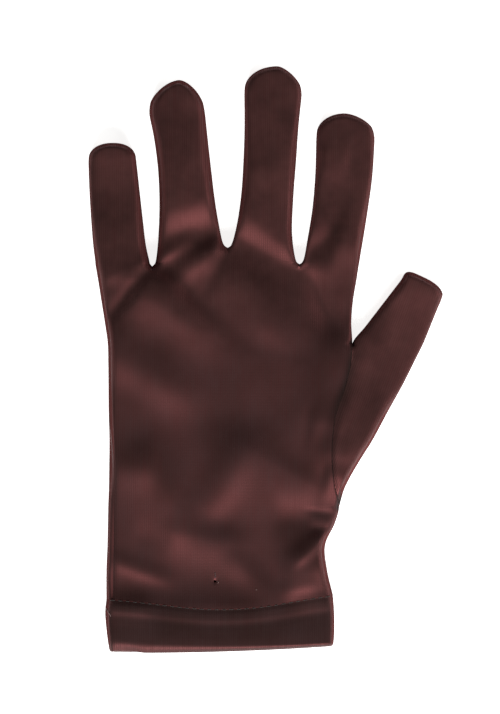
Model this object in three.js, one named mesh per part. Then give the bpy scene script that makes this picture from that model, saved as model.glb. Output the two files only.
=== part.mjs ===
// A short costume glove of stretch satin, empty and lying on its palm side.
// Millimetres, +Z up. The fingers point along +Y, the thumb towards +X, and the palm rests on Z = 0.
// The origin is the middle of the ground that the glove covers.
//
// Four pieces are sewn together: the back panel and the palm panel, each with its halves of the four
// fingers, the thumb, which is one folded tube, and the turned hem at the wrist. Each is a thin wall
// that follows one plan, the outline of the lying glove, and one height for the cloth above each
// point of that plan. Every outline point below is [x, y].

import * as THREE from 'three';

// Driving dimensions
const CLOTH = 1.0; // wall of one layer of satin
const HEM_CLOTH = 2.0; // wall of the hem, where the satin is turned in and doubled
const SEAM_GAP = 0.3; // clearance that two sewn pieces keep
const SEAM_HEIGHT = 4.9; // side seams above the table
const BACK_ROLL = 3.8; // how far in from its seam the back cloth rounds over
const PALM_ROLL = 4.5; // how far in from its seam the palm cloth reaches the table
const HEM_DROOP = 4.1; // sag of the hem's stitched line, in the middle of the back
const MOUTH_DROOP = 2.1; // sag of the open edge at the wrist
const FOLD_MARGIN = 4.0; // the folds fade out over this much beside a seam
const THUMB_LOFT = 8.8; // height of the lying thumb
const THUMB_GROOVE = 1.6; // depth of the valley along the thumb's seam
const THUMB_GROOVE_WIDTH = 2.2;

// Fineness of the walls
const BACK_COLUMNS = 7; // columns of faces across each finger
const PALM_COLUMNS = 4;
const THUMB_COLUMNS = 8;
const HEM_COLUMNS = 20;
const ROW_STEPS = 2; // rows of faces for each row of the tables
const PALM_FINGER_STEPS = 1;
const TIP_STEPS = 4; // rows of faces round a fingertip
const RAIL_SAMPLES = 12; // points for each row where the distance to the outline is measured
const SLOPE_STEP = 0.2; // over which a slope is measured

// The bottoms of the gaps between the fingers
const LITTLE_RING = [-45.3, 36.9];
const RING_MIDDLE = [-15.0, 44.4];
const MIDDLE_INDEX = [13.8, 37.8];
const INDEX_THUMB = [34.9, 6.1];
const THUMB_END = [29.6, -59.4]; // where the thumb's seam runs out at the side

// A row for each section of the hand from the hem up, with its left and its right end.
// The right ends follow the thumb's seam between THUMB_END and INDEX_THUMB.
const HAND = [
  { left: [-63.6, -96.2], right: [27.1, -95.4] },
  { left: [-63.6, -85.4], right: [24.9, -85.4] },
  { left: [-63.2, -74.8], right: [24.0, -74.8] },
  { left: [-63.0, -66.0], right: [27.9, -66.0] },
  { left: [-62.9, -59.4], right: THUMB_END },
  { left: [-62.6, -51.8], right: [27.8, -51.8] },
  { left: [-62.5, -42.2], right: [26.6, -42.2] },
  { left: [-62.4, -32.6], right: [26.7, -32.6] },
  { left: [-62.7, -21.4], right: [28.3, -21.4] },
  { left: [-62.8, -10.2], right: [32.3, -10.2] },
  { left: [-62.9, -1.4], right: [34.3, -1.4] },
  { left: [-63.1, 6.1], right: INDEX_THUMB },
  { left: [-64.3, 14.6], right: [34.5, 14.6] },
  { left: [-65.7, 23.4], right: [35.2, 23.4] },
  { left: [-66.9, 31.0], right: [36.5, 31.0] },
  { left: [-68.0, 37.4], right: [37.5, 37.4] },
];
const THUMB_END_ROW = 4;
const INDEX_THUMB_ROW = 11;

// A row for each section of a finger, from its gaps to where its tip starts to round.
// The tip runs on to its peak, and its fullness is 2 for an ellipse and more for a squarer end.
const FINGERS = [
  {
    sections: [
      { left: [-68.0, 37.4], right: LITTLE_RING },
      { left: [-68.2, 39.6], right: [-46.5, 39.0] },
      { left: [-68.9, 45.0], right: [-47.8, 45.2] },
      { left: [-69.9, 57.8], right: [-49.3, 57.8] },
      { left: [-70.5, 68.6], right: [-50.5, 68.6] },
      { left: [-70.9, 79.4], right: [-51.7, 79.4] },
    ],
    tip: { peak: [-61.1, 86.4], leftFullness: 2.2, rightFullness: 2.3 },
  },
  {
    sections: [
      { left: LITTLE_RING, right: RING_MIDDLE },
      { left: [-43.9, 39.0], right: [-16.9, 46.0] },
      { left: [-43.0, 46.2], right: [-18.3, 52.2] },
      { left: [-42.4, 60.6], right: [-20.1, 63.0] },
      { left: [-42.9, 75.0], right: [-21.7, 76.2] },
      { left: [-44.6, 88.4], right: [-23.1, 88.8] },
      { left: [-46.9, 99.4], right: [-24.2, 99.4] },
    ],
    tip: { peak: [-34.4, 111.6], leftFullness: 1.65, rightFullness: 1.6 },
  },
  {
    sections: [
      { left: RING_MIDDLE, right: MIDDLE_INDEX },
      { left: [-13.4, 46.0], right: [12.1, 39.8] },
      { left: [-11.3, 54.0], right: [10.8, 49.2] },
      { left: [-9.6, 66.0], right: [11.3, 64.6] },
      { left: [-8.7, 80.2], right: [12.4, 79.2] },
      { left: [-8.3, 93.6], right: [13.4, 93.4] },
      { left: [-8.4, 107.2], right: [14.9, 107.2] },
    ],
    tip: { peak: [5.1, 117.1], leftFullness: 2.1, rightFullness: 1.45 },
  },
  {
    sections: [
      { left: MIDDLE_INDEX, right: [37.5, 37.4] },
      { left: [15.4, 39.8], right: [37.9, 39.6] },
      { left: [16.9, 47.4], right: [39.2, 47.4] },
      { left: [18.9, 60.0], right: [41.2, 60.0] },
      { left: [20.0, 72.6], right: [42.9, 72.6] },
      { left: [20.5, 89.8], right: [44.0, 89.8] },
    ],
    tip: { peak: [31.7, 98.2], leftFullness: 2.0, rightFullness: 1.65 },
  },
];

// A row for each section of the thumb, from the end of its seam to where its tip starts to round
const THUMB = {
  sections: [
    { left: THUMB_END, right: THUMB_END },
    { left: [27.8, -51.8], right: [31.9, -51.8] },
    { left: [26.6, -42.2], right: [37.1, -42.2] },
    { left: [26.7, -32.6], right: [43.1, -32.6] },
    { left: [28.3, -21.4], right: [49.1, -21.4] },
    { left: [32.3, -10.2], right: [55.3, -10.2] },
    { left: [34.3, -1.4], right: [59.7, -1.4] },
    { left: INDEX_THUMB, right: [63.4, 6.1] },
    { left: [40.1, 12.8], right: [66.2, 12.6] },
    { left: [46.4, 21.0], right: [68.8, 18.8] },
    { left: [54.7, 31.8], right: [70.9, 24.4] },
  ],
  tip: { peak: [63.9, 32.4], leftFullness: 4.5, rightFullness: 2.7 },
};
const THUMB_SEAM_ROWS = 7; // sections before the thumb stands free of the hand

// A row for each section of the hem, from its stitched line to the open edge
const HEM = [
  { left: [-63.6, -96.2], right: [27.1, -95.4] },
  { left: [-64.1, -101.4], right: [27.6, -101.4] },
  { left: [-63.8, -108.2], right: [27.6, -107.8] },
  { left: [-61.9, -117.1], right: [27.2, -113.6] },
];

// How high the back of the glove lies, along its length
const LOFT = [
  { y: -117, height: 10.0 },
  { y: -96, height: 9.8 },
  { y: -60, height: 9.6 },
  { y: -10, height: 9.6 },
  { y: 25, height: 9.4 },
  { y: 50, height: 8.6 },
  { y: 80, height: 8.3 },
  { y: 118, height: 8.2 },
];

// The broad swell of the back over the palm's hollow
const CROWN = { x: -20, y: -26, across: 34, along: 60, height: 3.0 };

// The folds in the back. Each is a soft ridge along a line, or a valley where its height is negative.
// Its cloth slopes away over the width in front of it, on the wrist's side, and over the width behind.
const FOLDS = [
  { from: [-42, 62], to: [-18, 64], front: 8.0, behind: 12.0, height: 1.1 },
  { from: [-41, 50], to: [-17, 52], front: 4.5, behind: 4.0, height: -0.7 },
  { from: [-47, 37], to: [-29, 47], front: 3.0, behind: 2.4, height: 0.8 },
  { from: [-17, 45], to: [-32, 30], front: 4.0, behind: 2.6, height: 1.0 },
  { from: [-13, 42], to: [-24, 24], front: 3.0, behind: 3.0, height: -0.6 },
  { from: [-44, 41], to: [-60, 32], front: 4.0, behind: 2.6, height: 1.0 },
  { from: [-44, 34], to: [-61, 16], front: 3.5, behind: 5.0, height: -1.3 },
  { from: [-46, 45], to: [-58, 40], front: 2.5, behind: 3.0, height: -0.7 },
  { from: [-15, 60], to: [14, 40], front: 7.0, behind: 8.0, height: 1.4 },
  { from: [-14, 43], to: [10, 31], front: 3.5, behind: 7.0, height: -1.2 },
  { from: [8, 33], to: [24, 14], front: 5.0, behind: 9.0, height: -1.1 },
  { from: [19, 38], to: [37, 10], front: 3.2, behind: 3.0, height: 0.8 },
  { from: [15, 33], to: [32, 0], front: 3.0, behind: 6.0, height: -1.3 },
  { from: [-14, 38], to: [20, -12], front: 8.0, behind: 7.0, height: 0.9 },
  { from: [-44, 34], to: [-14, 16], front: 4.0, behind: 6.0, height: -1.3 },
  { from: [-58, 28], to: [-8, 2], front: 9.0, behind: 6.0, height: 1.2 },
  { from: [-62, -3], to: [-22, -24], front: 6.5, behind: 5.0, height: 1.5 },
  { from: [-60, -22], to: [-26, -46], front: 7.0, behind: 9.0, height: -0.8 },
  { from: [-28, -48], to: [12, -16], front: 5.0, behind: 14.0, height: -0.9 },
  { from: [-28, -66], to: [-5, -36], front: 8.0, behind: 4.5, height: 1.7 },
  { from: [-10, -36], to: [31, -56], front: 10.0, behind: 5.0, height: 1.7 },
  { from: [-60, -42], to: [-42, -48], front: 9.0, behind: 5.0, height: 1.5 },
  { from: [-50, -46], to: [-24, -70], front: 11.0, behind: 5.0, height: 1.6 },
  { from: [-30, -68], to: [2, -92], front: 8.0, behind: 5.0, height: 1.6 },
  { from: [6, -66], to: [30, -62], front: 2.4, behind: 2.8, height: -1.2 },
  { from: [8, -74], to: [24, -70], front: 4.0, behind: 3.0, height: 0.9 },
  { from: [13, -88], to: [28, -73], front: 3.0, behind: 2.6, height: 1.0 },
  { from: [4, -93], to: [18, -87], front: 2.5, behind: 3.0, height: -0.8 },
  { from: [-62, -80], to: [-38, -91], front: 4.0, behind: 2.6, height: 1.3 },
  { from: [-61, -92], to: [-44, -97], front: 2.5, behind: 3.0, height: -0.8 },
];

// Small curves

/** A number kept between 0 and 1. */
function unit(value) {
  return THREE.MathUtils.clamp(value, 0, 1);
}

/** Columns across a strip: closer together at both sides, where the cloth rounds over. */
function crowded(t) {
  const round = 0.5 - 0.5 * Math.cos(Math.PI * t);
  return THREE.MathUtils.lerp(t, round, 0.75);
}

/** The point a share t of the way from a to b. */
function between(a, b, t) {
  return [a[0] + (b[0] - a[0]) * t, a[1] + (b[1] - a[1]) * t];
}

/** A smooth curve through one end of each section. */
function rail(sections, side) {
  const curve = new THREE.CatmullRomCurve3(
    sections.map((section) => new THREE.Vector3(section[side][0], section[side][1], 0)),
    false,
    'centripetal',
  );
  return (t) => {
    const point = curve.getPoint(t);
    return [point.x, point.y];
  };
}

/** Both ends of the section at turn (0 at the last section, 1 at the peak) round a fingertip. */
function tipEnds(finger, turn) {
  const { left, right } = finger.sections.at(-1);
  const { peak, leftFullness, rightFullness } = finger.tip;
  const across = new THREE.Vector2(right[0] - left[0], right[1] - left[1]).normalize();
  const along = new THREE.Vector2(-across.y, across.x);
  const angle = (turn * Math.PI) / 2;
  return [
    [left, leftFullness],
    [right, rightFullness],
  ].map(([corner, fullness]) => {
    const reach = new THREE.Vector2(peak[0] - corner[0], peak[1] - corner[1]);
    const inward = 1 - Math.max(Math.cos(angle), 0) ** (2 / fullness);
    const onward = Math.sin(angle) ** (2 / fullness);
    const step = across.clone().multiplyScalar(reach.dot(across) * inward);
    step.addScaledVector(along, reach.dot(along) * onward);
    return [corner[0] + step.x, corner[1] + step.y];
  });
}

/** The rows of a finger or thumb: the left and right end of each, base first and peak last. */
function fingerRows(finger, stepsEach) {
  const leftRail = rail(finger.sections, 'left');
  const rightRail = rail(finger.sections, 'right');
  const straight = (finger.sections.length - 1) * stepsEach;
  const rows = [];
  for (let i = 0; i <= straight; i += 1) {
    rows.push([leftRail(i / straight), rightRail(i / straight)]);
  }
  for (let i = 1; i <= TIP_STEPS; i += 1) {
    rows.push(tipEnds(finger, i / TIP_STEPS));
  }
  return rows;
}

// The outline, for the distance that any point lies in from the seams

/** Points along one side of a run of sections, from its first section to its last. */
function railPoints(sections, side) {
  const steps = (sections.length - 1) * RAIL_SAMPLES;
  const at = rail(sections, side);
  return Array.from({ length: steps + 1 }, (_, i) => at(i / steps));
}

/** Points up one side of a finger to its peak. */
function fingerSide(finger, side) {
  const end = side === 'left' ? 0 : 1;
  const tip = Array.from({ length: RAIL_SAMPLES }, (_, i) => tipEnds(finger, (i + 1) / RAIL_SAMPLES)[end]);
  return railPoints(finger.sections, side).concat(tip);
}

/** The seams and folded edges round the whole glove, from the wrist's left corner to its right. */
function outlinePoints() {
  const freeThumb = { sections: THUMB.sections.slice(THUMB_SEAM_ROWS), tip: THUMB.tip };
  const lowHand = railPoints(HAND, 'right').slice(0, THUMB_END_ROW * RAIL_SAMPLES + 1);
  const highHand = railPoints(HAND, 'right').slice(INDEX_THUMB_ROW * RAIL_SAMPLES);
  return [
    ...railPoints(HEM, 'left').reverse(),
    ...railPoints(HAND, 'left'),
    ...FINGERS.flatMap((finger) => [
      ...fingerSide(finger, 'left'),
      ...fingerSide(finger, 'right').reverse(),
    ]),
    ...highHand.reverse(),
    ...fingerSide(freeThumb, 'left'),
    ...fingerSide(THUMB, 'right').reverse(),
    ...lowHand.reverse(),
    ...railPoints(HEM, 'right'),
  ];
}

/** From the nearest place on the straight runs between points to x, y: how far, and which way. */
function awayFrom(points, x, y) {
  let nearest = { distance: Infinity, way: [0, 0] };
  for (let i = 1; i < points.length; i += 1) {
    const [ax, ay] = points[i - 1];
    const [bx, by] = points[i];
    const length = (bx - ax) ** 2 + (by - ay) ** 2;
    const t = length > 0 ? unit(((x - ax) * (bx - ax) + (y - ay) * (by - ay)) / length) : 0;
    const gap = [x - ax - t * (bx - ax), y - ay - t * (by - ay)];
    const distance = Math.hypot(...gap);
    if (distance < nearest.distance) {
      nearest = { distance, way: gap.map((part) => part / Math.max(distance, 1e-9)) };
    }
  }
  return nearest;
}

const OUTLINE = outlinePoints();
const THUMB_SEAM = railPoints(HAND, 'right').slice(
  THUMB_END_ROW * RAIL_SAMPLES,
  INDEX_THUMB_ROW * RAIL_SAMPLES + 1,
);

// Heights of the cloth

/** The loft of the back at y, eased from one row of the table to the next. */
function loftAlong(y) {
  const above = LOFT.findIndex((row) => row.y >= y);
  if (above === -1) {
    return LOFT.at(-1).height;
  }
  if (above === 0) {
    return LOFT[0].height;
  }
  const low = LOFT[above - 1];
  const high = LOFT[above];
  const t = THREE.MathUtils.smoothstep(y, low.y, high.y);
  return THREE.MathUtils.lerp(low.height, high.height, t);
}

/** The loft at a point: the thumb's is its own, beyond its seam. */
function loftAt(x, y) {
  const thumbShare = THREE.MathUtils.smoothstep(x, 30, 46) * (1 - THREE.MathUtils.smoothstep(y, 34, 44));
  return THREE.MathUtils.lerp(loftAlong(y), THUMB_LOFT, thumbShare);
}

/** The height that one fold adds at a point. */
function foldAt({ from, to, front, behind, height }, x, y) {
  const length = Math.hypot(to[0] - from[0], to[1] - from[1]);
  const along = [(to[0] - from[0]) / length, (to[1] - from[1]) / length];
  const [dx, dy] = [x - (from[0] + to[0]) / 2, y - (from[1] + to[1]) / 2];
  const onward = (dx * along[0] + dy * along[1]) / (length / 2);
  const aside = (dy * along[0] - dx * along[1]) * Math.sign(along[0]);
  const width = aside < 0 ? front : behind;
  return height * Math.exp(-((aside / width) ** 2) - onward ** 4);
}

/** The height that the crown, the folds and the thumb's groove add at a point. */
function reliefAt(x, y) {
  const spread = ((x - CROWN.x) / CROWN.across) ** 2 + ((y - CROWN.y) / CROWN.along) ** 2;
  const groove = awayFrom(THUMB_SEAM, x, y).distance / THUMB_GROOVE_WIDTH;
  const folds = FOLDS.reduce((sum, fold) => sum + foldAt(fold, x, y), 0);
  const inward = THREE.MathUtils.smoothstep(awayFrom(OUTLINE, x, y).distance, 0, FOLD_MARGIN);
  return (folds + CROWN.height * Math.exp(-spread) - THUMB_GROOVE * Math.exp(-(groove ** 2))) * inward;
}

/** The full height of the back away from its seams. */
function backTop(x, y) {
  return loftAt(x, y) + reliefAt(x, y);
}

/** The palm lies on the table away from its seams. */
function palmTop() {
  return 0;
}

/**
 * The outer face of a cloth over a point: its height and its outward direction. From the seam the
 * cloth rounds over like a quarter ellipse, one roll wide, to its full height.
 */
function clothAt(side, x, y) {
  const { seamZ, roll, top, up } = side;
  const { distance, way } = awayFrom(OUTLINE, x, y);
  const short = 1 - unit(distance / roll);
  const rise = Math.sqrt(1 - short * short);
  const span = top(x, y) - seamZ;
  const slopeX = (top(x + SLOPE_STEP, y) - top(x - SLOPE_STEP, y)) / (2 * SLOPE_STEP);
  const slopeY = (top(x, y + SLOPE_STEP) - top(x, y - SLOPE_STEP)) / (2 * SLOPE_STEP);
  const steep = (span * short) / roll;
  const direction = new THREE.Vector3(
    -(rise * rise * slopeX + steep * way[0]),
    -(rise * rise * slopeY + steep * way[1]),
    rise,
  );
  return { z: seamZ + span * rise, direction: direction.normalize().multiplyScalar(up ? 1 : -1) };
}

/** The cloth on the back or on the palm, whose edge lies at seamZ. */
function clothSide(up, seamZ) {
  return { up, seamZ, roll: up ? BACK_ROLL : PALM_ROLL, top: up ? backTop : palmTop };
}

// Walls

/** The outer face of a piece of cloth, made of rows of points and then given its thickness. */
class Sheet {
  constructor() {
    this.points = [];
    this.faces = [];
    this.directions = [];
    this.numbers = new Map();
  }

  /** The number of a point. Points at the same place are one. */
  number({ x, y, z, direction }) {
    const key = [x, y, z].map((value) => Math.round(value * 1000)).join();
    if (!this.numbers.has(key)) {
      this.numbers.set(key, this.points.length);
      this.points.push(new THREE.Vector3(x, y, z));
      this.directions.push(direction);
    }
    return this.numbers.get(key);
  }

  /** Faces between rows that run left to right and follow each other upwards, turned up or down. */
  addRows(rows, faceUp) {
    const numbered = rows.map((row) => row.map((point) => this.number(point)));
    for (let i = 1; i < numbered.length; i += 1) {
      const [low, high] = [numbered[i - 1], numbered[i]];
      for (let j = 1; j < Math.max(low.length, high.length); j += 1) {
        const [a, b] = [low[j - 1] ?? low[0], low[j] ?? low[0]];
        const [d, c] = [high[j - 1] ?? high[0], high[j] ?? high[0]];
        this.addFace(faceUp ? [a, b, c] : [a, c, b]);
        this.addFace(faceUp ? [a, c, d] : [a, d, c]);
      }
    }
  }

  /** One triangle, unless two of its corners are the same. */
  addFace([a, b, c]) {
    if (a !== b && b !== c && c !== a) {
      this.faces.push([a, b, c]);
    }
  }

  /** The outward direction at each point. On a seam it is level, and comes from the faces there. */
  outward() {
    const sums = this.points.map(() => new THREE.Vector3());
    for (const corners of this.faces) {
      const [a, b, c] = corners.map((corner) => this.points[corner]);
      const normal = b.clone().sub(a).cross(c.clone().sub(a));
      corners.forEach((corner) => sums[corner].add(normal));
    }
    return sums.map((sum, i) => this.directions[i] ?? sum.setZ(0).normalize());
  }

  /** The edges that only one face has. */
  rim() {
    const edges = new Map();
    for (const [a, b, c] of this.faces) {
      for (const [from, to] of [
        [a, b],
        [b, c],
        [c, a],
      ]) {
        if (!edges.delete(`${to} ${from}`)) {
          edges.set(`${from} ${to}`, [from, to]);
        }
      }
    }
    return [...edges.values()];
  }

  /** The closed wall of this thickness behind the outer face. */
  wall(thickness) {
    const outward = this.outward();
    const inner = this.points.map((point, i) => point.clone().addScaledVector(outward[i], -thickness));
    const shift = this.points.length;
    const faces = [...this.faces, ...this.faces.map(([a, b, c]) => [a + shift, c + shift, b + shift])];
    for (const [from, to] of this.rim()) {
      faces.push([to, from, from + shift], [to, from + shift, to + shift]);
    }
    const geometry = new THREE.BufferGeometry().setFromPoints([...this.points, ...inner]);
    geometry.setIndex(faces.flat());
    geometry.computeVertexNormals();
    return geometry;
  }
}

/** A point of the outer face. One on a seam lies at the seam's height. */
function clothPoint(side, [x, y], onSeam) {
  return onSeam ? { x, y, z: side.seamZ } : { x, y, ...clothAt(side, x, y) };
}

/** A row of points of the outer face from left to right. */
function clothRow(side, [left, right], columns, leftOnSeam, rightOnSeam) {
  return Array.from({ length: columns + 1 }, (_, j) => {
    const onSeam = (j === 0 && leftOnSeam) || (j === columns && rightOnSeam);
    return clothPoint(side, between(left, right, crowded(j / columns)), onSeam);
  });
}

/** Faces of a finger or thumb. Its peak, and any row without width, is one point of the seam. */
function addFinger(sheet, side, rows, columns, leftOnSeam) {
  sheet.addRows(rows.map(([left, right], i) => {
    const width = Math.hypot(right[0] - left[0], right[1] - left[1]);
    return width > 1e-3
      ? clothRow(side, [left, right], columns, leftOnSeam(i), true)
      : [clothPoint(side, left, true)];
  }), side.up);
}

/** How far the hem's stitched line sags at a share u of the way across. */
function hemSag(u) {
  return HEM_DROOP * Math.sin(Math.PI * u ** 1.1) ** 2;
}

/** The points where the hand's cloth meets the fingers, from left to right. */
function fingerBases(columns) {
  return FINGERS.flatMap(({ sections: [base] }, finger) => {
    const points = Array.from({ length: columns + 1 }, (_, j) =>
      between(base.left, base.right, crowded(j / columns)));
    return points.slice(finger === 0 ? 0 : 1);
  });
}

/** The rows of the hand's cloth from the hem to the fingers, whose columns it takes on. */
function handRows(side, columns, stepsEach) {
  const leftRail = rail(HAND, 'left');
  const rightRail = rail(HAND, 'right');
  const bases = fingerBases(columns);
  const last = bases.length - 1;
  const steps = (HAND.length - 1) * stepsEach;
  return Array.from({ length: steps + 1 }, (_, i) => {
    const v = i / steps;
    const low = THUMB_END_ROW * stepsEach;
    const high = INDEX_THUMB_ROW * stepsEach;
    const left = leftRail(v);
    const right = rightRail(v);
    right[0] -= i >= low && i <= high ? SEAM_GAP / 2 : 0;
    return bases.map((base, j) => {
      const fingerwise = (base[0] - bases[0][0]) / (bases[last][0] - bases[0][0]);
      const u = THREE.MathUtils.lerp(crowded(j / last), fingerwise, v);
      const [x, level] = between(left, right, u);
      const baseRise = base[1] - between(bases[0], bases[last], fingerwise)[1];
      const y = level + v ** 3 * baseRise - (1 - v) ** 6 * hemSag(u) + (i === 0 ? SEAM_GAP / 2 : 0);
      return clothPoint(side, [x, y], j === 0 || (j === last && (i <= low || i >= high)));
    });
  });
}

/** One face of the hand with its halves of the four fingers: the back or the palm. */
function panelGeometry(side, columns, fingerSteps) {
  const sheet = new Sheet();
  sheet.addRows(handRows(side, columns, ROW_STEPS), side.up);
  for (const finger of FINGERS) {
    addFinger(sheet, side, fingerRows(finger, fingerSteps), columns, () => true);
  }
  return sheet.wall(CLOTH);
}

/** The thumb: a tube folded flat, closed at its tip, whose mouth follows the seam to the hand. */
function thumbGeometry() {
  const free = THUMB_SEAM_ROWS * ROW_STEPS;
  const rows = fingerRows(THUMB, ROW_STEPS);
  const handSide = rail(HAND, 'right');
  for (let i = 0; i <= free; i += 1) {
    const [x, y] = handSide((THUMB_END_ROW + i / ROW_STEPS) / (HAND.length - 1));
    rows[i][0] = [x + SEAM_GAP / 2, y];
  }
  rows[0][1] = rows[0][0];
  const sheet = new Sheet();
  for (const up of [true, false]) {
    addFinger(sheet, clothSide(up, SEAM_HEIGHT), rows, THUMB_COLUMNS, (i) => i >= free);
  }
  return sheet.wall(CLOTH);
}

/** The hem: a band right round the wrist, open at both ends. */
function hemGeometry() {
  const steps = (HEM.length - 1) * ROW_STEPS;
  const leftRail = rail(HEM, 'left');
  const rightRail = rail(HEM, 'right');
  const sheet = new Sheet();
  for (const up of [true, false]) {
    const side = clothSide(up, SEAM_HEIGHT);
    const rows = Array.from({ length: steps + 1 }, (_, i) => {
      const v = 1 - i / steps;
      return Array.from({ length: HEM_COLUMNS + 1 }, (_, j) => {
        const u = crowded(j / HEM_COLUMNS);
        const [x, level] = between(leftRail(v), rightRail(v), u);
        const sag = THREE.MathUtils.lerp(hemSag(u), MOUTH_DROOP * 4 * u * (1 - u), v);
        const y = level - sag - (i === steps ? SEAM_GAP / 2 : 0);
        return clothPoint(side, [x, y], j === 0 || j === HEM_COLUMNS);
      });
    });
    sheet.addRows(rows, up);
  }
  return sheet.wall(HEM_CLOTH);
}

/** A piece of the glove in its satin. */
function piece(name, geometry, colour, roughness) {
  const material = new THREE.MeshStandardMaterial({ color: colour, roughness, metalness: 0 });
  const mesh = new THREE.Mesh(geometry, material);
  mesh.name = name;
  return mesh;
}

const back = clothSide(true, SEAM_HEIGHT + SEAM_GAP / 2);
const palm = clothSide(false, SEAM_HEIGHT - SEAM_GAP / 2);
const glove = new THREE.Group();
glove.add(
  piece('back_panel', panelGeometry(back, BACK_COLUMNS, ROW_STEPS), '#46302e', 0.42),
  piece('palm_panel', panelGeometry(palm, PALM_COLUMNS, PALM_FINGER_STEPS), '#3f2a29', 0.45),
  piece('thumb', thumbGeometry(), '#4a2b28', 0.42),
  piece('wrist_hem', hemGeometry(), '#35231f', 0.48),
);

export default glove;
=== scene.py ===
"""A short costume glove of dark stretch satin, empty and lying on its palm.

Every table and size of the glove is in millimetres and is turned to metres when a mesh is made.
The fingers point along +Y and the thumb towards +X. Angles are in degrees.
"""

import logging
import math
from dataclasses import dataclass, field
from enum import Enum
from typing import Sequence

import bpy
import numpy as np
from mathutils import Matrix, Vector


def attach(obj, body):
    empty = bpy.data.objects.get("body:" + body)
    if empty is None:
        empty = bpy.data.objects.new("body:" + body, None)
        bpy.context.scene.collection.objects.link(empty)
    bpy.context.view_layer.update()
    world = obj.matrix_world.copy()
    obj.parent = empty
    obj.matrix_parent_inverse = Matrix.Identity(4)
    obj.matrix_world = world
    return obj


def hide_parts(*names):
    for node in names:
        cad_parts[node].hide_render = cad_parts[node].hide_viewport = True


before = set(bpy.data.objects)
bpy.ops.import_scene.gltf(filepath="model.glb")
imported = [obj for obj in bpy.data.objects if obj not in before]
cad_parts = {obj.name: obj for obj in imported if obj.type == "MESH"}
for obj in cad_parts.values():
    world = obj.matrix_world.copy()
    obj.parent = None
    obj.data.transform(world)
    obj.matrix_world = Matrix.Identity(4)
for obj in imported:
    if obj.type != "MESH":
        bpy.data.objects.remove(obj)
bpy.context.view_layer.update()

log = logging.getLogger("glove")

Plan = tuple[float, float]
Table = tuple[tuple[float, ...], ...]

MM = 0.001
# Height of the side seams above the ground
SEAM_Z = 4.9
# How far in from its seam the cloth rounds over, on the back and on the palm
BACK_ROLL = 3.2
PALM_ROLL = 4.0
# The most of a narrow row's width that the roll at one end takes
ROLL_SHARE = 0.4
# A turn just past the edge, so that its column counts as its own side's
JUST_PAST = 1e-6
# Cloth within this turn of a seam stands on edge
UPRIGHT_WITHIN = 8.0
# Width beside an edge over which the folds fade out
FOLD_MARGIN = 2.2
# Points for each section of an edge
SEAM_SAMPLES = 16
# How far apart two sewn pieces lie
SEWN_GAP = 0.03
# Sag of the hem's stitched line with the powers that shape it, and sag of the open edge
HEM_SAG = 4.5
HEM_SAG_POWERS = (1.1, 1.4)
MOUTH_SAG = 0.9
# A row narrower than this is a point
NO_WIDTH = 1e-6
# Places and shares closer than this are the same
SAME = 1e-9
# A place is on the thumb's side of its seam where the way to it points this far towards +X
THUMBWARDS = 1e-3
# The least length, or square of a length, that anything is divided by
LEAST = 1e-12
# Places whose distance to a run is worked out at once, to spare memory
PLACES_AT_ONCE = 2000
# Edges that turn more than this are shaded sharp
SHARP_ANGLE = 60.0
# Scale of a wave pattern with bands 1 mm apart, because it turns 20 radians for each unit
BAND_SCALE = 0.314159


class Side(Enum):
    """Which way a face of the lying glove is turned."""

    BACK = 1
    PALM = -1


# Plan of the glove


def smoothstep(
    value: np.ndarray | float, low: np.ndarray | float, high: np.ndarray | float
) -> np.ndarray:
    """Eases from 0 at low to 1 at high."""
    share = np.clip((np.asarray(value, dtype=float) - low) / (high - low), 0.0, 1.0)
    return share * share * (3.0 - 2.0 * share)


def smooth_curve(points: Sequence[Plan], shares: np.ndarray) -> np.ndarray:
    """Places on a smooth curve through points.

    Args:
        points: the places that the curve passes.
        shares: how far along the run of points each place is, from 0 to 1.

    Returns:
        One row of x and y for each share.
    """
    known = np.asarray(points, dtype=float)
    padded = np.vstack([2 * known[0] - known[1], known, 2 * known[-1] - known[-2]])
    place = np.clip(shares, 0.0, 1.0) * (len(known) - 1)
    first = np.minimum(place.astype(int), len(known) - 2)
    t = (place - first)[:, None]
    p0, p1, p2, p3 = (padded[first + k] for k in range(4))
    pairs = ((p0, p1), (p1, p2), (p2, p3))
    g0, g1, g2 = (np.sqrt(np.linalg.norm(b - a, axis=1))[:, None] for a, b in pairs)
    start = ((p1 - p0) / g0 - (p2 - p0) / (g0 + g1) + (p2 - p1) / g1) * g1
    end = ((p2 - p1) / g1 - (p3 - p1) / (g1 + g2) + (p3 - p2) / g2) * g1
    cubic = 2 * p1 - 2 * p2 + start + end
    square = -3 * p1 + 3 * p2 - 2 * start - end
    return p1 + start * t + square * t**2 + cubic * t**3


def run_lengths(points: np.ndarray) -> np.ndarray:
    """The length along a run of points up to each of them."""
    steps = np.linalg.norm(np.diff(points, axis=0), axis=1)
    return np.concatenate([[0.0], np.cumsum(steps)])


def along_run(points: np.ndarray, shares: np.ndarray) -> np.ndarray:
    """Places on the straight runs between points.

    Args:
        points: the points of the run.
        shares: how far along its whole length each place is, from 0 to 1.

    Returns:
        One row for each share.
    """
    lengths = run_lengths(points)
    wanted = shares * lengths[-1]
    return np.column_stack([np.interp(wanted, lengths, column) for column in points.T])


def even_shares(left: Sequence[Plan], right: Sequence[Plan], pitch: float) -> np.ndarray:
    """Shares along a pair of edges that lie about one pitch apart.

    Args:
        left: the left end of each section.
        right: the right end of each section.
        pitch: the distance wanted between rows.

    Returns:
        Rising shares from 0 to 1, with one at each section.
    """
    sections = len(left) - 1
    shares = [np.zeros(1)]
    for i in range(sections):
        spans = [math.dist(edge[i], edge[i + 1]) for edge in (left, right)]
        steps = max(2, round(sum(spans) / 2 / pitch))
        shares.append((i + np.arange(1, steps + 1) / steps) / sections)
    return np.concatenate(shares)


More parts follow.
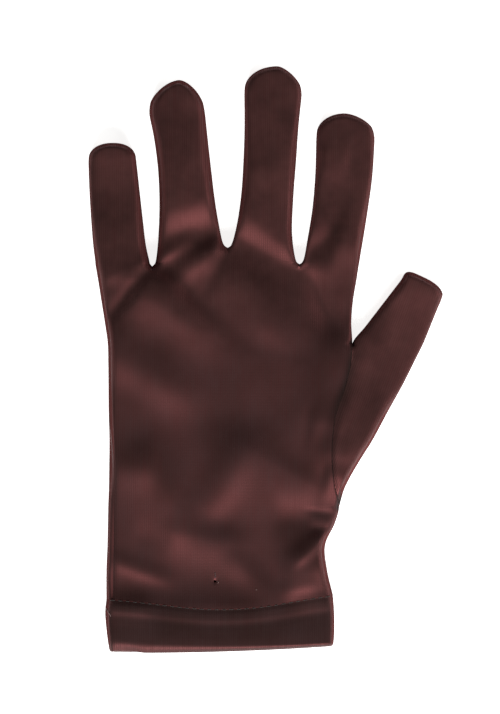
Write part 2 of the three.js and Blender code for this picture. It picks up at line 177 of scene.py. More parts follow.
@dataclass(frozen=True)
class Digit:
    """A finger or the thumb in plan: its sections from the base up, and its rounded tip.

    Its lean says how far the seam lies up over the left and the right edge, as a turn, and its
    softness over what length each corner below the tip is rounded. Stations along a side count its
    sections from 0 at the base, and the tip as one more.
    """

    left: tuple[Plan, ...]
    right: tuple[Plan, ...]
    peak: Plan
    fullness: tuple[float, float]
    lean: tuple[float, float] = (0.0, 0.0)
    softness: tuple[float, float] = (2.0, 2.0)

    def tip_side(self, right: bool, samples: int = 120) -> np.ndarray:
        """One side of the tip, as a quarter of a superellipse.

        Args:
            right: whether it is the right side.
            samples: the number of points.

        Returns:
            One row of x and y for each point, from the last section to the peak.
        """
        left_end, right_end = np.array(self.left[-1]), np.array(self.right[-1])
        corner = right_end if right else left_end
        power = 2.0 / self.fullness[1 if right else 0]
        across = (right_end - left_end) / np.linalg.norm(right_end - left_end)
        onward = np.array([-across[1], across[0]])
        reach = np.array(self.peak) - corner
        angle = np.linspace(0.0, math.pi / 2, samples)
        inward = 1.0 - np.maximum(np.cos(angle), 0.0) ** power
        rise = np.sin(angle) ** power
        sides = np.outer(inward, across) * (reach @ across) + np.outer(rise, onward) * (reach @ onward)
        return corner + sides

    def at_stations(self, right: bool, stations: np.ndarray, samples: int = 40) -> np.ndarray:
        """Places on one side of the digit.

        Args:
            right: whether it is the right side.
            stations: where along the side each place is.
            samples: the number of points for each section of the curve that the places lie on.

        Returns:
            One row of x and y for each station.
        """
        table = self.right if right else self.left
        sections = len(table) - 1
        straight = smooth_curve(table, np.linspace(0.0, 1.0, sections * samples + 1))
        tip = along_run(self.tip_side(right), np.linspace(0.0, 1.0, 2 * samples + 1))
        run = np.vstack([straight, tip[1:]])
        known = np.linspace(0.0, sections, sections * samples + 1)
        known = np.concatenate([known, sections + np.arange(1, 2 * samples + 1) / (2 * samples)])
        corner, reach = run[sections * samples].copy(), self.softness[1 if right else 0]
        lengths = run_lengths(run) - run_lengths(run)[sections * samples]
        first, last = (
            np.array([np.interp(place, lengths, run[:, axis]) for axis in range(2)])
            for place in (-reach, reach)
        )
        near = np.abs(lengths) < reach
        t = ((lengths[near] + reach) / (2 * reach))[:, None]
        run[near] = (1 - t) ** 2 * first + 2 * t * (1 - t) * corner + t**2 * last
        return np.column_stack([np.interp(stations, known, run[:, axis]) for axis in range(2)])

    def edge(self, right: bool) -> np.ndarray:
        """The whole side of the digit, base first and peak last."""
        return self.at_stations(right, np.linspace(0.0, len(self.left), len(self.left) * SEAM_SAMPLES + 1))

    def row_ends(self, pitch: float, tip_rows: int) -> tuple[np.ndarray, np.ndarray]:
        """Both ends of each row of cloth across the digit.

        Args:
            pitch: the distance wanted between rows below the tip.
            tip_rows: the number of rows round the tip.

        Returns:
            The left ends and the right ends, base first. The last row is the peak.
        """
        sections = len(self.left) - 1
        straight = even_shares(self.left, self.right, pitch) * sections
        stations = np.concatenate([straight, sections + np.arange(1, tip_rows + 1) / tip_rows])
        return self.at_stations(False, stations), self.at_stations(True, stations)


LITTLE_RING = (-45.3, 36.9)
RING_MIDDLE = (-15.0, 44.4)
MIDDLE_INDEX = (13.8, 37.8)
INDEX_THUMB = (34.9, 6.1)
THUMB_END = (29.6, -59.4)

HAND_LEFT = (
    (-63.6, -96.2), (-63.6, -85.4), (-63.2, -74.8), (-63.0, -66.0), (-62.9, -59.4), (-62.6, -51.8),
    (-62.5, -42.2), (-62.4, -32.6), (-62.7, -21.4), (-62.8, -10.2), (-62.9, -1.4), (-63.1, 6.1),
    (-64.3, 14.6), (-65.7, 23.4), (-66.9, 31.0), (-68.0, 37.4),
)
HAND_RIGHT = (
    (27.1, -94.6), (24.9, -85.4), (24.0, -74.8), (27.9, -66.0), THUMB_END, (27.8, -51.8),
    (26.6, -42.2), (26.7, -32.6), (28.3, -21.4), (32.3, -10.2), (34.3, -1.4), INDEX_THUMB,
    (34.5, 14.6), (35.2, 23.4), (36.5, 31.0), (37.5, 37.4),
)
THUMB_END_ROW = 4
INDEX_THUMB_ROW = 11

FINGERS = (
    Digit(
        left=(
            (-68.0, 37.4), (-68.1, 38.4), (-68.2, 39.6), (-68.9, 45.0), (-69.9, 57.8), (-70.5, 68.6),
            (-70.9, 79.4),
        ),
        right=(
            LITTLE_RING, (-46.2, 38.0), (-46.5, 39.4), (-47.8, 45.2), (-49.3, 57.8), (-50.5, 68.6),
            (-51.7, 79.4),
        ),
        peak=(-61.1, 86.4),
        fullness=(2.2, 2.3),
    ),
    Digit(
        left=(
            LITTLE_RING, (-44.2, 38.0), (-43.8, 39.4), (-43.0, 46.2), (-42.4, 60.6), (-42.9, 75.0),
            (-44.6, 88.4), (-46.9, 99.4),
        ),
        right=(
            RING_MIDDLE, (-16.1, 45.0), (-16.9, 46.2), (-18.3, 52.2), (-20.1, 63.0), (-21.7, 76.2),
            (-23.1, 88.8), (-24.2, 99.4),
        ),
        peak=(-34.4, 111.6),
        fullness=(1.65, 1.6),
        softness=(3.6, 3.0),
    ),
    Digit(
        left=(
            RING_MIDDLE, (-14.0, 45.0), (-13.3, 46.2), (-11.3, 54.0), (-9.6, 66.0), (-8.7, 80.2),
            (-8.3, 93.6), (-8.4, 107.2),
        ),
        right=(
            MIDDLE_INDEX, (12.8, 38.4), (12.2, 39.6), (10.8, 49.2), (11.3, 64.6), (12.4, 79.2),
            (13.4, 93.4), (14.9, 107.2),
        ),
        peak=(5.1, 117.1),
        fullness=(2.1, 1.45),
        lean=(0.0, 34.0),
        softness=(2.0, 3.0),
    ),
    Digit(
        left=(
            MIDDLE_INDEX, (14.7, 38.4), (15.4, 39.7), (16.9, 47.4), (18.9, 60.0), (20.0, 72.6),
            (20.5, 89.8),
        ),
        right=(
            (37.5, 37.4), (37.7, 38.3), (37.9, 39.7), (39.2, 47.4), (41.2, 60.0), (42.9, 72.6),
            (44.0, 89.8),
        ),
        peak=(31.7, 98.2),
        fullness=(2.0, 1.65),
        softness=(2.0, 3.0),
    ),
)

THUMB_SEAM_SECTIONS = 7
THUMB = Digit(
    left=(
        THUMB_END, (27.8, -51.8), (26.6, -42.2), (26.7, -32.6), (28.3, -21.4), (32.3, -10.2),
        (34.3, -1.4), INDEX_THUMB, (40.1, 12.8), (46.4, 21.0), (54.7, 31.8),
    ),
    right=(
        THUMB_END, (31.9, -51.8), (37.1, -42.2), (43.1, -32.6), (49.1, -21.4), (55.3, -10.2),
        (59.7, -1.4), (63.4, 6.1), (66.3, 13.2), (68.4, 18.4), (70.9, 24.2),
    ),
    peak=(63.9, 32.4),
    fullness=(4.5, 2.2),
    softness=(0.8, 1.5),
)

# The small hole of a snag in the back
SNAG = (-20.0, -88.6)
SNAG_SIZE = (1.7, 1.5)

HEM_LEFT = ((-63.6, -96.2), (-64.1, -101.4), (-63.6, -108.2), (-62.5, -117.1))
HEM_RIGHT = ((27.1, -94.6), (27.6, -101.2), (27.7, -108.2), (27.4, -114.8))


def edge_run(points: Sequence[Plan]) -> np.ndarray:
    """A closely sampled smooth curve through points."""
    return smooth_curve(points, np.linspace(0.0, 1.0, (len(points) - 1) * SEAM_SAMPLES + 1))


def outline_run() -> np.ndarray:
    """The edge right round the lying glove, from the wrist's left corner to its right."""
    low_hand = edge_run(HAND_RIGHT)[: THUMB_END_ROW * SEAM_SAMPLES + 1]
    high_hand = edge_run(HAND_RIGHT)[INDEX_THUMB_ROW * SEAM_SAMPLES :]
    thumb_inside = THUMB.edge(right=False)[THUMB_SEAM_SECTIONS * SEAM_SAMPLES :]
    runs = [edge_run(HEM_LEFT)[::-1], edge_run(HAND_LEFT)]
    for finger in FINGERS:
        runs += [finger.edge(right=False), finger.edge(right=True)[::-1]]
    runs += [high_hand[::-1], thumb_inside, THUMB.edge(right=True)[::-1], low_hand[::-1]]
    return np.vstack([*runs, edge_run(HEM_RIGHT)])


def thumb_seam_run() -> np.ndarray:
    """The seam between the thumb and the hand."""
    first, last = THUMB_END_ROW * SEAM_SAMPLES, INDEX_THUMB_ROW * SEAM_SAMPLES
    return edge_run(HAND_RIGHT)[first : last + 1]


def distance_to(run: np.ndarray, places: np.ndarray) -> tuple[np.ndarray, np.ndarray]:
    """How far each place lies from a run of points, and the way from the run to it.

    Args:
        run: the points of the run, joined by straight lines.
        places: the places in plan.

    Returns:
        The distances, and the unit directions from the nearest point of the run.
    """
    starts, steps = run[:-1], np.diff(run, axis=0)
    squares = np.maximum((steps**2).sum(axis=1), LEAST)
    distances = np.empty(len(places))
    ways = np.empty((len(places), 2))
    for first in range(0, len(places), PLACES_AT_ONCE):
        block = places[first : first + PLACES_AT_ONCE]
        offsets = block[:, None, :] - starts[None]
        shares = np.clip((offsets * steps[None]).sum(axis=2) / squares, 0.0, 1.0)
        gaps = offsets - shares[..., None] * steps[None]
        apart = np.hypot(gaps[..., 0], gaps[..., 1])
        nearest = np.arange(len(block)), apart.argmin(axis=1)
        found = slice(first, first + PLACES_AT_ONCE)
        distances[found] = apart[nearest]
        ways[found] = gaps[nearest] / np.maximum(apart[nearest], SAME)[:, None]
    return distances, ways


# Heights of the cloth


@dataclass(frozen=True)
class Fold:
    """A soft ridge along a line, or a valley where its height is negative.

    The cloth slopes away over the width in front of it, on the wrist's side, and the width behind.
    """

    start: Plan
    end: Plan
    front: float
    behind: float
    height: float

    def lift(self, places: np.ndarray) -> np.ndarray:
        """The height that the fold adds.

        Args:
            places: the places in plan.

        Returns:
            The height at each place.
        """
        first, last = np.array(self.start), np.array(self.end)
        length = np.linalg.norm(last - first)
        along = (last - first) / length
        offsets = places - (first + last) / 2
        onward = offsets @ along / (length / 2)
        aside = (offsets[:, 1] * along[0] - offsets[:, 0] * along[1]) * np.sign(along[0])
        width = np.where(aside < 0, self.front, self.behind)
        return self.height * np.exp(-((aside / width) ** 2) - onward**4)


def folds_from(rows: Table) -> tuple[Fold, ...]:
    """Folds from rows of start x, start y, end x, end y, front, behind and height."""
    return tuple(Fold(row[0:2], row[2:4], *row[4:7]) for row in rows)


# Start x and y, end x and y, width in front, width behind, height
MAIN_FOLDS = folds_from((
    # Across the roots of the ring finger and the little finger
    (-46, 57, -15, 69, 10.0, 24.0, 3.3), (-36, 47, -13, 51, 4.5, 8.0, -0.9),
    (-49, 36, -29, 47.6, 3.4, 3.5, 1.7), (-35, 33.5, -12, 50, 5.0, 4.5, 1.9),
    (-42, 38.5, -31, 45, 2.5, 2.5, -0.3), (-15, 46, -24.5, 25, 3.0, 3.0, -0.6),
    (-44, 41, -66, 32.5, 5.0, 12.0, 2.4), (-46, 52, -66, 50, 9.0, 10.0, 1.4),
    (-45, 38, -63.5, 15, 2.6, 3.0, -1.3), (-42, 37.5, -22, 18, 2.8, 4.5, -1.3),
    (-56, 31, -33, 30, 10.0, 4.5, 2.3),
    # Below the middle finger and the index finger
    (-17, 65.5, 18, 37, 7.5, 16.0, 1.15), (-16, 50.5, 16, 31.5, 11.0, 6.0, -2.3),
    (-6, 13, 36, -9, 31.0, 15.0, 1.6), (28, 50, 42, 44, 10.0, 12.0, 2.1),
    (12, 42, 26, 41.5, 7.0, 6.0, -1.1), (2, 14, 24, 6, 9.0, 12.0, -0.5),
    (13, 41, 27, 50, 4.0, 6.0, -1.0), (21.5, 35, 33, 9, 10.0, 6.0, -1.9),
    (17, 36, 28, 10, 5.0, 3.5, -1.7), (-14, 38, 20, -12, 8.0, 7.0, 0.6),
    # Across the middle of the hand
    (-58, 28, -8, 2, 9.0, 6.0, 1.2), (-72, 7, -26, -18, 9.0, 9.0, 1.6),
    (-27, 43, 2, 25, 8.0, 6.0, 0.8), (-54, 34, -26, 18, 8.0, 8.0, 1.2),
    (-72, 22, -26, 10, 32.0, 13.0, 2.2), (-24, 6, 22, -2, 26.0, 10.0, -1.8),
    (-75, -18, -48, -22, 20.0, 8.0, 0.5), (-80, 8, -52, 4, 22.0, 12.0, 0.9),
    (14, -17, 34, -23, 10.0, 9.0, 0.6), (-28, -22, 8, -22, 9.0, 12.0, -0.8),
    # Round the dark hollow: its left slope, its right slope and the lit peak beside the thumb
    (-52, -36, -31, -68, 12.0, 9.0, 2.6), (-64, -41, -44, -43, 9.0, 16.0, 1.1),
    (-24, -65, -6, -31, 8.0, 9.0, 1.9), (-12, -34, 25, -55, 13.0, 5.5, 0.9),
    (-15, -51, 2, -53, 9.0, 12.0, 0.3), (18, -26, 31, -28, 16.0, 8.0, 1.5),
    (24, -47, 36, -50, 9.0, 5.0, 1.5), (-42, -70, -8, -75, 9.0, 6.0, 1.4),
    (-36, -55, -14, -66, 7.0, 12.0, -0.9),
    (-14, -79, 4, -97, 6.0, 5.0, 1.1),
    # The creases towards the thumb's end
    (3, -64, 22, -63, 6.0, 8.0, -1.2), (18, -63.5, 29, -65.5, 2.6, 1.4, 0.3),
    (18, -68, 29, -69.5, 2.4, 2.0, -0.7), (16, -60.6, 29, -62.2, 1.0, 1.0, -0.2),
    (26, -68.8, 11.8, -81.5, 2.8, 4.5, 1.7), (20, -37, 34, -41, 9.0, 6.0, 0.8),
    (7, -87.5, 31, -80, 8.0, 9.0, 2.6), (6, -93.5, 22, -91, 5.0, 4.0, 0.9),
    # Above the hem
    (-64, -79.5, -37, -89.5, 3.4, 4.0, 0.8), (-52, -71, -38, -72, 6.0, 6.0, -0.4),
    (-63, -88.5, -43, -94, 4.0, 6.0, -0.3), (-54, -100, 12, -100, 30.0, 7.0, 1.6),
    (-48, -99.6, 8, -100, 20.0, 3.0, 0.5),
    (-70, -98.5, -46, -99, 7.0, 4.0, 1.4), (12, -97.5, 30, -94.5, 6.0, 2.0, 0.5),
    # Along the thumb
    (30, -18, 50, -23, 10.0, 9.0, 1.5), (26, -33, 50, -41, 13.0, 13.0, 2.8),
    (42, 37, 72, 33, 14.0, 8.0, 2.0),
    # Along the fingers
    (22, 80, 33, 78, 9.0, 9.0, 1.4), (-66, 60, -52, 62, 8.0, 8.0, 0.4),
    (-46, 84, -22, 84, 16.0, 12.0, 2.0), (-10, 78, 12, 78, 15.0, 18.0, 1.7),
    (-50, 111, -20, 111, 15.0, 9.0, 2.3), (-12, 120, 18, 120, 13.0, 9.0, 0.9),
    (-74, 92, -48, 92, 13.0, 9.0, 1.7), (17, 105, 47, 105, 14.0, 9.0, 1.2),
    # Round the small hole
    (-21.2, -88.6, -18.8, -88.6, 0.9, 0.9, -0.15),
))


@dataclass(frozen=True)
class Drape:
    """How high the cloth lies over each place of the plan."""

    # Place along the glove, and the height of the back there
    loft: Table = (
        (-117, 10.0), (-96, 9.8), (-60, 9.6), (-10, 9.6), (25, 9.4), (50, 8.6), (80, 8.3), (118, 8.2),
    )
    thumb_loft: float = 8.8
    # Between which x the hand's loft gives way to the thumb's, and between which y it comes back
    thumb_from: Plan = (30.0, 46.0)
    thumb_until: Plan = (34.0, 44.0)
    # The broad swell over the palm's hollow
    crown: Plan = (-20.0, -26.0)
    crown_spread: Plan = (34.0, 60.0)
    crown_height: float = 1.8
    # How much lower the cloth lies at the hand's edges and the fingers', and how far in that reaches
    fall: Plan = (0.45, 0.5)
    fall_reach: Plan = (14.0, 8.0)
    # Between which y the fingers' fall takes over from the hand's
    fingers_from: Plan = (28.0, 48.0)
    # How far the thumb's cloth sinks at its seam, and how wide at the seam's lower end and its upper end
    furrow: float = 0.6
    furrow_width: Plan = (1.2, 3.4)
    # Between which y it widens, and the width beside an edge over which it fades out
    furrow_widens: Plan = (-36.0, -14.0)
    furrow_margin: float = 1.2
    folds: tuple[Fold, ...] = MAIN_FOLDS

    def back_top(
        self, places: np.ndarray, from_edge: np.ndarray, from_seam: np.ndarray, on_thumb: np.ndarray
    ) -> np.ndarray:
        """The full height of the back.

        Args:
            places: the places in plan.
            from_edge: how far each lies in from the glove's outline.
            from_seam: how far each lies from the thumb's seam.
            on_thumb: whether each lies on the thumb's side of that seam.

        Returns:
            The height that the cloth reaches away from its edges.
        """
        x, y = places[:, 0], places[:, 1]
        rows = np.array(self.loft)
        above = np.clip(np.searchsorted(rows[:, 0], y), 1, len(rows) - 1)
        low, high = rows[above - 1], rows[above]
        loft = low[:, 1] + (high[:, 1] - low[:, 1]) * smoothstep(y, low[:, 0], high[:, 0])
        thumb_share = smoothstep(x, *self.thumb_from) * (1 - smoothstep(y, *self.thumb_until))
        loft = loft + (self.thumb_loft - loft) * thumb_share
        spread = ((places - self.crown) / self.crown_spread) ** 2
        relief = self.crown_height * np.exp(-spread.sum(axis=1))
        relief += sum(fold.lift(places) for fold in self.folds)
        upper = smoothstep(y, *self.furrow_widens)
        width = self.furrow_width[0] + (self.furrow_width[1] - self.furrow_width[0]) * upper
        furrow = self.furrow * np.exp(-((from_seam / width) ** 2))
        furrow = furrow * smoothstep(from_edge, 0.0, self.furrow_margin) * on_thumb
        narrow = np.maximum(smoothstep(y, *self.fingers_from), thumb_share)
        fall, reach = (broad + (slim - broad) * narrow for broad, slim in (self.fall, self.fall_reach))
        fall = fall * np.maximum(1.0 - from_edge / reach, 0.0) ** 2
        return loft + relief * smoothstep(from_edge, 0.0, FOLD_MARGIN) - furrow - fall


OUTLINE = outline_run()
THUMB_SEAM = thumb_seam_run()


@dataclass(frozen=True)
class HemRoll:
    """How the turned hem rises from its stitched line and rounds over at the open edge."""

    # Distance past the stitched line, and the height added there
    rise: Table = (
        (0.0, 0.0), (0.6, 0.06), (2.0, 0.5), (4.2, 0.85), (6.6, 0.95), (9.5, 1.5), (13.5, 2.2),
        (22.0, 3.1),
    )
    # Distance from the open edge, and the height taken off there
    lip: Table = ((0.0, 1.7), (0.7, 1.25), (1.6, 0.72), (2.7, 0.28), (3.9, 0.05), (4.8, 0.0))
    # How tight the lip's curve is at the left end, and how much tighter it gets towards the right
    lip_tightness: Plan = (0.8, 2.2)

    def lift(self, past: np.ndarray, from_mouth: np.ndarray, across: np.ndarray) -> np.ndarray:
        """The height added to the hem.

        Args:
            past: how far each place lies past the stitched line.
            from_mouth: how far it lies from the open edge.
            across: its share of the way across.

        Returns:
            The height at each place.
        """
        left, more = self.lip_tightness
        return through(self.rise, past) - through(self.lip, from_mouth * (left + more * across))


def through(table: Table, places: np.ndarray, samples: int = 40) -> np.ndarray:
    """Values on the smooth curve through a table of places and values.

    Args:
        table: rows of a place and its value, with the places rising.
        places: where the values are wanted.
        samples: the points of the curve for each row of the table.

    Returns:
        The value at each place.
    """
    curve = smooth_curve(table, np.linspace(0.0, 1.0, samples * len(table)))
    return np.interp(places, curve[:, 0], curve[:, 1])


# Cloth made row by row


@dataclass(frozen=True)
class EdgeRound:
    """How the cloth rounds over beside an edge of the lying glove.

    A turn of 0 is at the edge, 90 on top of the back and -90 under the palm. A fullness of 2 makes
    quarter ellipses, and more makes the cloth flatter inwards and steeper at the edge.
    """

    fullness: float = 3.6
    back_rise: float = 4.6
    palm_rise: float = SEAM_Z
    # Points of the curve round the edge, an eighth of a degree apart
    samples: int = 1441

    def place(self, turns: np.ndarray) -> np.ndarray:
        """How far in from the edge the cloth lies at turns."""
        roll = np.where(turns >= 0, BACK_ROLL, PALM_ROLL)
        return roll * (1.0 - np.abs(np.cos(np.radians(turns))) ** (2.0 / self.fullness))

    def rise(self, turns: np.ndarray) -> np.ndarray:
        """The share of its full height that the cloth reaches at turns."""
        return np.abs(np.sin(np.radians(turns))) ** (2.0 / self.fullness)

    def rise_at(self, distance: np.ndarray, side: np.ndarray) -> np.ndarray:
        """The share of its full height that the cloth reaches at distances from the edge."""
        short = 1.0 - np.clip(distance / np.where(side > 0, BACK_ROLL, PALM_ROLL), 0.0, 1.0)
        return (1.0 - short**self.fullness) ** (1.0 / self.fullness)

    def curve(self) -> tuple[np.ndarray, np.ndarray]:
        """Turns from -90 to 90, and the length of cloth from -90 up to each."""
        turns = np.linspace(-90.0, 90.0, self.samples)
        height = np.where(turns >= 0, self.back_rise, -self.palm_rise) * self.rise(turns)
        return turns, run_lengths(np.column_stack([self.place(turns), height]))

    def turn_past(self, turn: float, length: float) -> float:
        """The turn that a length of cloth reaches from another turn."""
        turns, lengths = self.curve()
        return float(np.interp(np.interp(turn, turns, lengths) + length, lengths, turns))

    def slack(self, distance: np.ndarray, side: np.ndarray) -> np.ndarray:
        """How much longer the cloth is than its plan.

        Args:
            distance: how far in from the edge each place lies.
            side: 1 on the back and -1 on the palm.

        Returns:
            The surplus of cloth between each place and where the cloth runs flat.
        """
        turns, lengths = self.curve()
        surplus = np.zeros(len(distance))
        for sign, roll in ((1, BACK_ROLL), (-1, PALM_ROLL)):
            half = turns * sign >= 0
            places = self.place(turns[half])
            extra = np.abs(lengths[half] - (lengths[-1] if sign > 0 else 0.0)) - (roll - places)
            order = np.argsort(places)
            found = np.interp(distance, places[order], extra[order])
            surplus = np.where(side * sign > 0, found, surplus)
        return surplus


EDGE = EdgeRound()


@dataclass
class ClothFace:
    """The outer face of a piece of cloth, made of rows of places that are lifted at the end."""

    drape: Drape
    places: list[np.ndarray] = field(default_factory=list)
    sides: list[np.ndarray] = field(default_factory=list)
    turns: list[np.ndarray] = field(default_factory=list)
    extra: list[np.ndarray] = field(default_factory=list)
    sewn: list[np.ndarray] = field(default_factory=list)
    faces: list[tuple[int, ...]] = field(default_factory=list)
    least_turn: float = 0.0
    facing: Side = Side.BACK
    count: int = 0

    def add_row(
        self,
        places: np.ndarray,
        side: np.ndarray,
        turn: np.ndarray,
        extra: np.ndarray | None = None,
        sewn: Sequence[int] = (),
    ) -> np.ndarray:
        """Adds the points of a row.

        Args:
            places: their places in plan.
            side: 1 on the back and -1 on the palm, for each point.
            turn: the turn round the edge where that sets a point's height, and NaN elsewhere.
            extra: height to add to each point.
            sewn: the points of the row that butt against the next piece's cloth.

        Returns:
            The numbers of the points.
        """
        self.places.append(places)
        self.sides.append(side)
        self.turns.append(turn)
        self.extra.append(np.zeros(len(places)) if extra is None else extra)
        butted = np.zeros(len(places), dtype=bool)
        butted[list(sewn)] = True
        self.sewn.append(butted)
        numbers = np.arange(self.count, self.count + len(places))
        self.count += len(places)
        return numbers

    def join(self, low: np.ndarray, high: np.ndarray, side: Side = Side.BACK) -> None:
        """Adds the faces between two rows.

        Args:
            low: the numbers of the lower row's points. A row of one point is a peak.
            high: those of the upper row.
            side: the side that the faces are on, which sets the way they turn.
        """
        for j in range(1, max(len(low), len(high))):
            a, b = (low[j - 1], low[j]) if len(low) > 1 else (low[0], low[0])
            d, c = (high[j - 1], high[j]) if len(high) > 1 else (high[0], high[0])
            corners = list(dict.fromkeys((a, b, c, d)))
            if len(corners) > 2:
                self.faces.append(tuple(corners if side is Side.BACK else corners[::-1]))

    def lifted(self) -> tuple[np.ndarray, np.ndarray]:
        """Gives the points their heights.

        Returns:
            The points of the face, and the cloth's flat measure at each.
        """
        places = np.vstack(self.places)
        side = np.concatenate(self.sides)
        turn = np.concatenate(self.turns)
        extra = np.concatenate(self.extra)
        distance, way = distance_to(OUTLINE, places)
        seam_distance, seam_way = distance_to(THUMB_SEAM, places)
        on_thumb = seam_way[:, 0] > THUMBWARDS
        top = self.drape.back_top(places, distance, seam_distance, on_thumb)
        rise = np.maximum(EDGE.rise_at(distance, side), EDGE.rise(np.array(self.least_turn)))
        told = ~np.isnan(turn)
        rise[told] = EDGE.rise(turn[told])
        full = np.where(side > 0, top, 0.0)
        z = SEAM_Z + (full - SEAM_Z) * rise + extra * rise
        flat = places - way * EDGE.slack(distance, side)[:, None]
        return np.column_stack([places, z]), flat

    def pierce(self, centre: Plan, size: Plan) -> None:
        """Makes a hole by taking out the faces whose middles lie in an ellipse.

        Args:
            centre: the middle of the ellipse.
            size: its width and length.
        """
        places = np.vstack(self.places)
        middles = np.array([places[list(face)].mean(axis=0) for face in self.faces])
        inside = (((middles - centre) / (np.array(size) / 2)) ** 2).sum(axis=1) < 1
        self.faces = [face for face, gone in zip(self.faces, inside) if not gone]

    def upright(self) -> np.ndarray:
        """1 or -1 where the cloth stands on edge beside a seam, on the back or the palm, and 0 elsewhere."""
        turn = np.nan_to_num(np.concatenate(self.turns), nan=90.0)
        beside = (np.abs(turn) < UPRIGHT_WITHIN) & (self.least_turn > 0)
        return np.where(beside, float(self.facing.value), 0.0)

    def closed(self, thickness: float, rounds: int = 4) -> tuple[np.ndarray, list, np.ndarray]:
        """Closes the face into a wall.

        Args:
            thickness: the cloth's thickness.
            rounds: the steps round an edge.

        Returns:
            The points, the faces and the flat measures of the wall.
        """
        points, flat = self.lifted()
        sewn = np.concatenate(self.sewn)
        return wall(points, self.faces, flat, thickness, self.upright(), sewn, rounds)


def point_normals(points: np.ndarray, faces: Sequence[tuple[int, ...]]) -> np.ndarray:
    """The way the cloth faces at each point.

    Args:
        points: the points.
        faces: the triangles and quads between them.

    Returns:
        One unit normal for each point, from the faces round it.
    """
    normals = np.zeros_like(points)
    for size in (3, 4):
        same = np.array([face for face in faces if len(face) == size], dtype=int)
        if len(same):
            a, b, c = points[same[:, 0]], points[same[:, 1]], points[same[:, 2]]
            d = points[same[:, 3]] if size == 4 else a
            crossed = np.cross(c - a, d - b) if size == 4 else np.cross(b - a, c - a)
            for corner in range(size):
                np.add.at(normals, same[:, corner], crossed)
    return normals / np.maximum(np.linalg.norm(normals, axis=1), LEAST)[:, None]


def open_edges(faces: Sequence[tuple[int, ...]]) -> list[tuple[int, int]]:
    """The edges that only one face has.

    Args:
        faces: the faces, all turned the same way.

    Returns:
        The two corners of each edge, in the order of its face.
    """
    edges: dict[tuple[int, int], None] = {}
    for face in faces:
        for start, end in zip(face, face[1:] + face[:1]):
            if (end, start) in edges:
                del edges[(end, start)]
            else:
                edges[(start, end)] = None
    return list(edges)


def wall(
    points: np.ndarray,
    faces: Sequence[tuple[int, ...]],
    flat: np.ndarray,
    thickness: float,
    upright: np.ndarray,
    sewn: np.ndarray,
    rounds: int,
) -> tuple[np.ndarray, list[tuple[int, ...]], np.ndarray]:
    """Closes a face of cloth into a wall with half-round edges.

    Args:
        points: the points of the outer face.
        faces: its faces, turned outwards.
        flat: the flat measure of each point.
        thickness: the cloth's thickness.
        upright: 1 or -1 at the points that face straight sideways beside a seam, and 0 elsewhere.
        sewn: which points have a square edge, because they butt against another piece.
        rounds: the steps round an edge.

    Returns:
        The points, the faces and the flat measures of the closed wall.
    """
    normals = point_normals(points, faces)
    edges = open_edges(faces)
    along: dict[int, np.ndarray] = {}
    for start, end in edges:
        for corner in (start, end):
            along[corner] = along.get(corner, np.zeros(3)) + points[end] - points[start]
    for corner, run in along.items():
        if upright[corner]:
            normals[corner] = upright[corner] * np.array([run[1], -run[0], 0.0]) / np.hypot(run[0], run[1])
    outward: dict[int, np.ndarray] = {}
    for start, end in edges:
        way = np.cross(points[end] - points[start], normals[start] + normals[end])
        for corner in (start, end):
            outward[corner] = outward.get(corner, np.zeros(3)) + way
    count = len(points)
    half = thickness / 2
    all_points = [points, points - normals * thickness]
    all_flat = [flat, flat]
    all_faces = list(faces) + [tuple(corner + count for corner in face[::-1]) for face in faces]
    rim_points, rim_flat = [], []
    ring: dict[int, list[int]] = {}
    for corner, way in outward.items():
        way = way - normals[corner] * (way @ normals[corner])
        way /= max(np.linalg.norm(way), LEAST)
        way *= 0.0 if sewn[corner] else 1.0
        numbers = [corner]
        for k in range(1, rounds):
            angle = math.pi * k / rounds
            centre = points[corner] - normals[corner] * half
            rim_points.append(centre + half * (math.cos(angle) * normals[corner] + math.sin(angle) * way))
            rim_flat.append(flat[corner])
            numbers.append(2 * count + len(rim_points) - 1)
        ring[corner] = numbers + [corner + count]
    for start, end in edges:
        for k in range(rounds):
            all_faces.append((ring[end][k], ring[start][k], ring[start][k + 1], ring[end][k + 1]))
    if rim_points:
        all_points.append(np.array(rim_points))
        all_flat.append(np.array(rim_flat))
    return np.vstack(all_points), all_faces, np.vstack(all_flat)


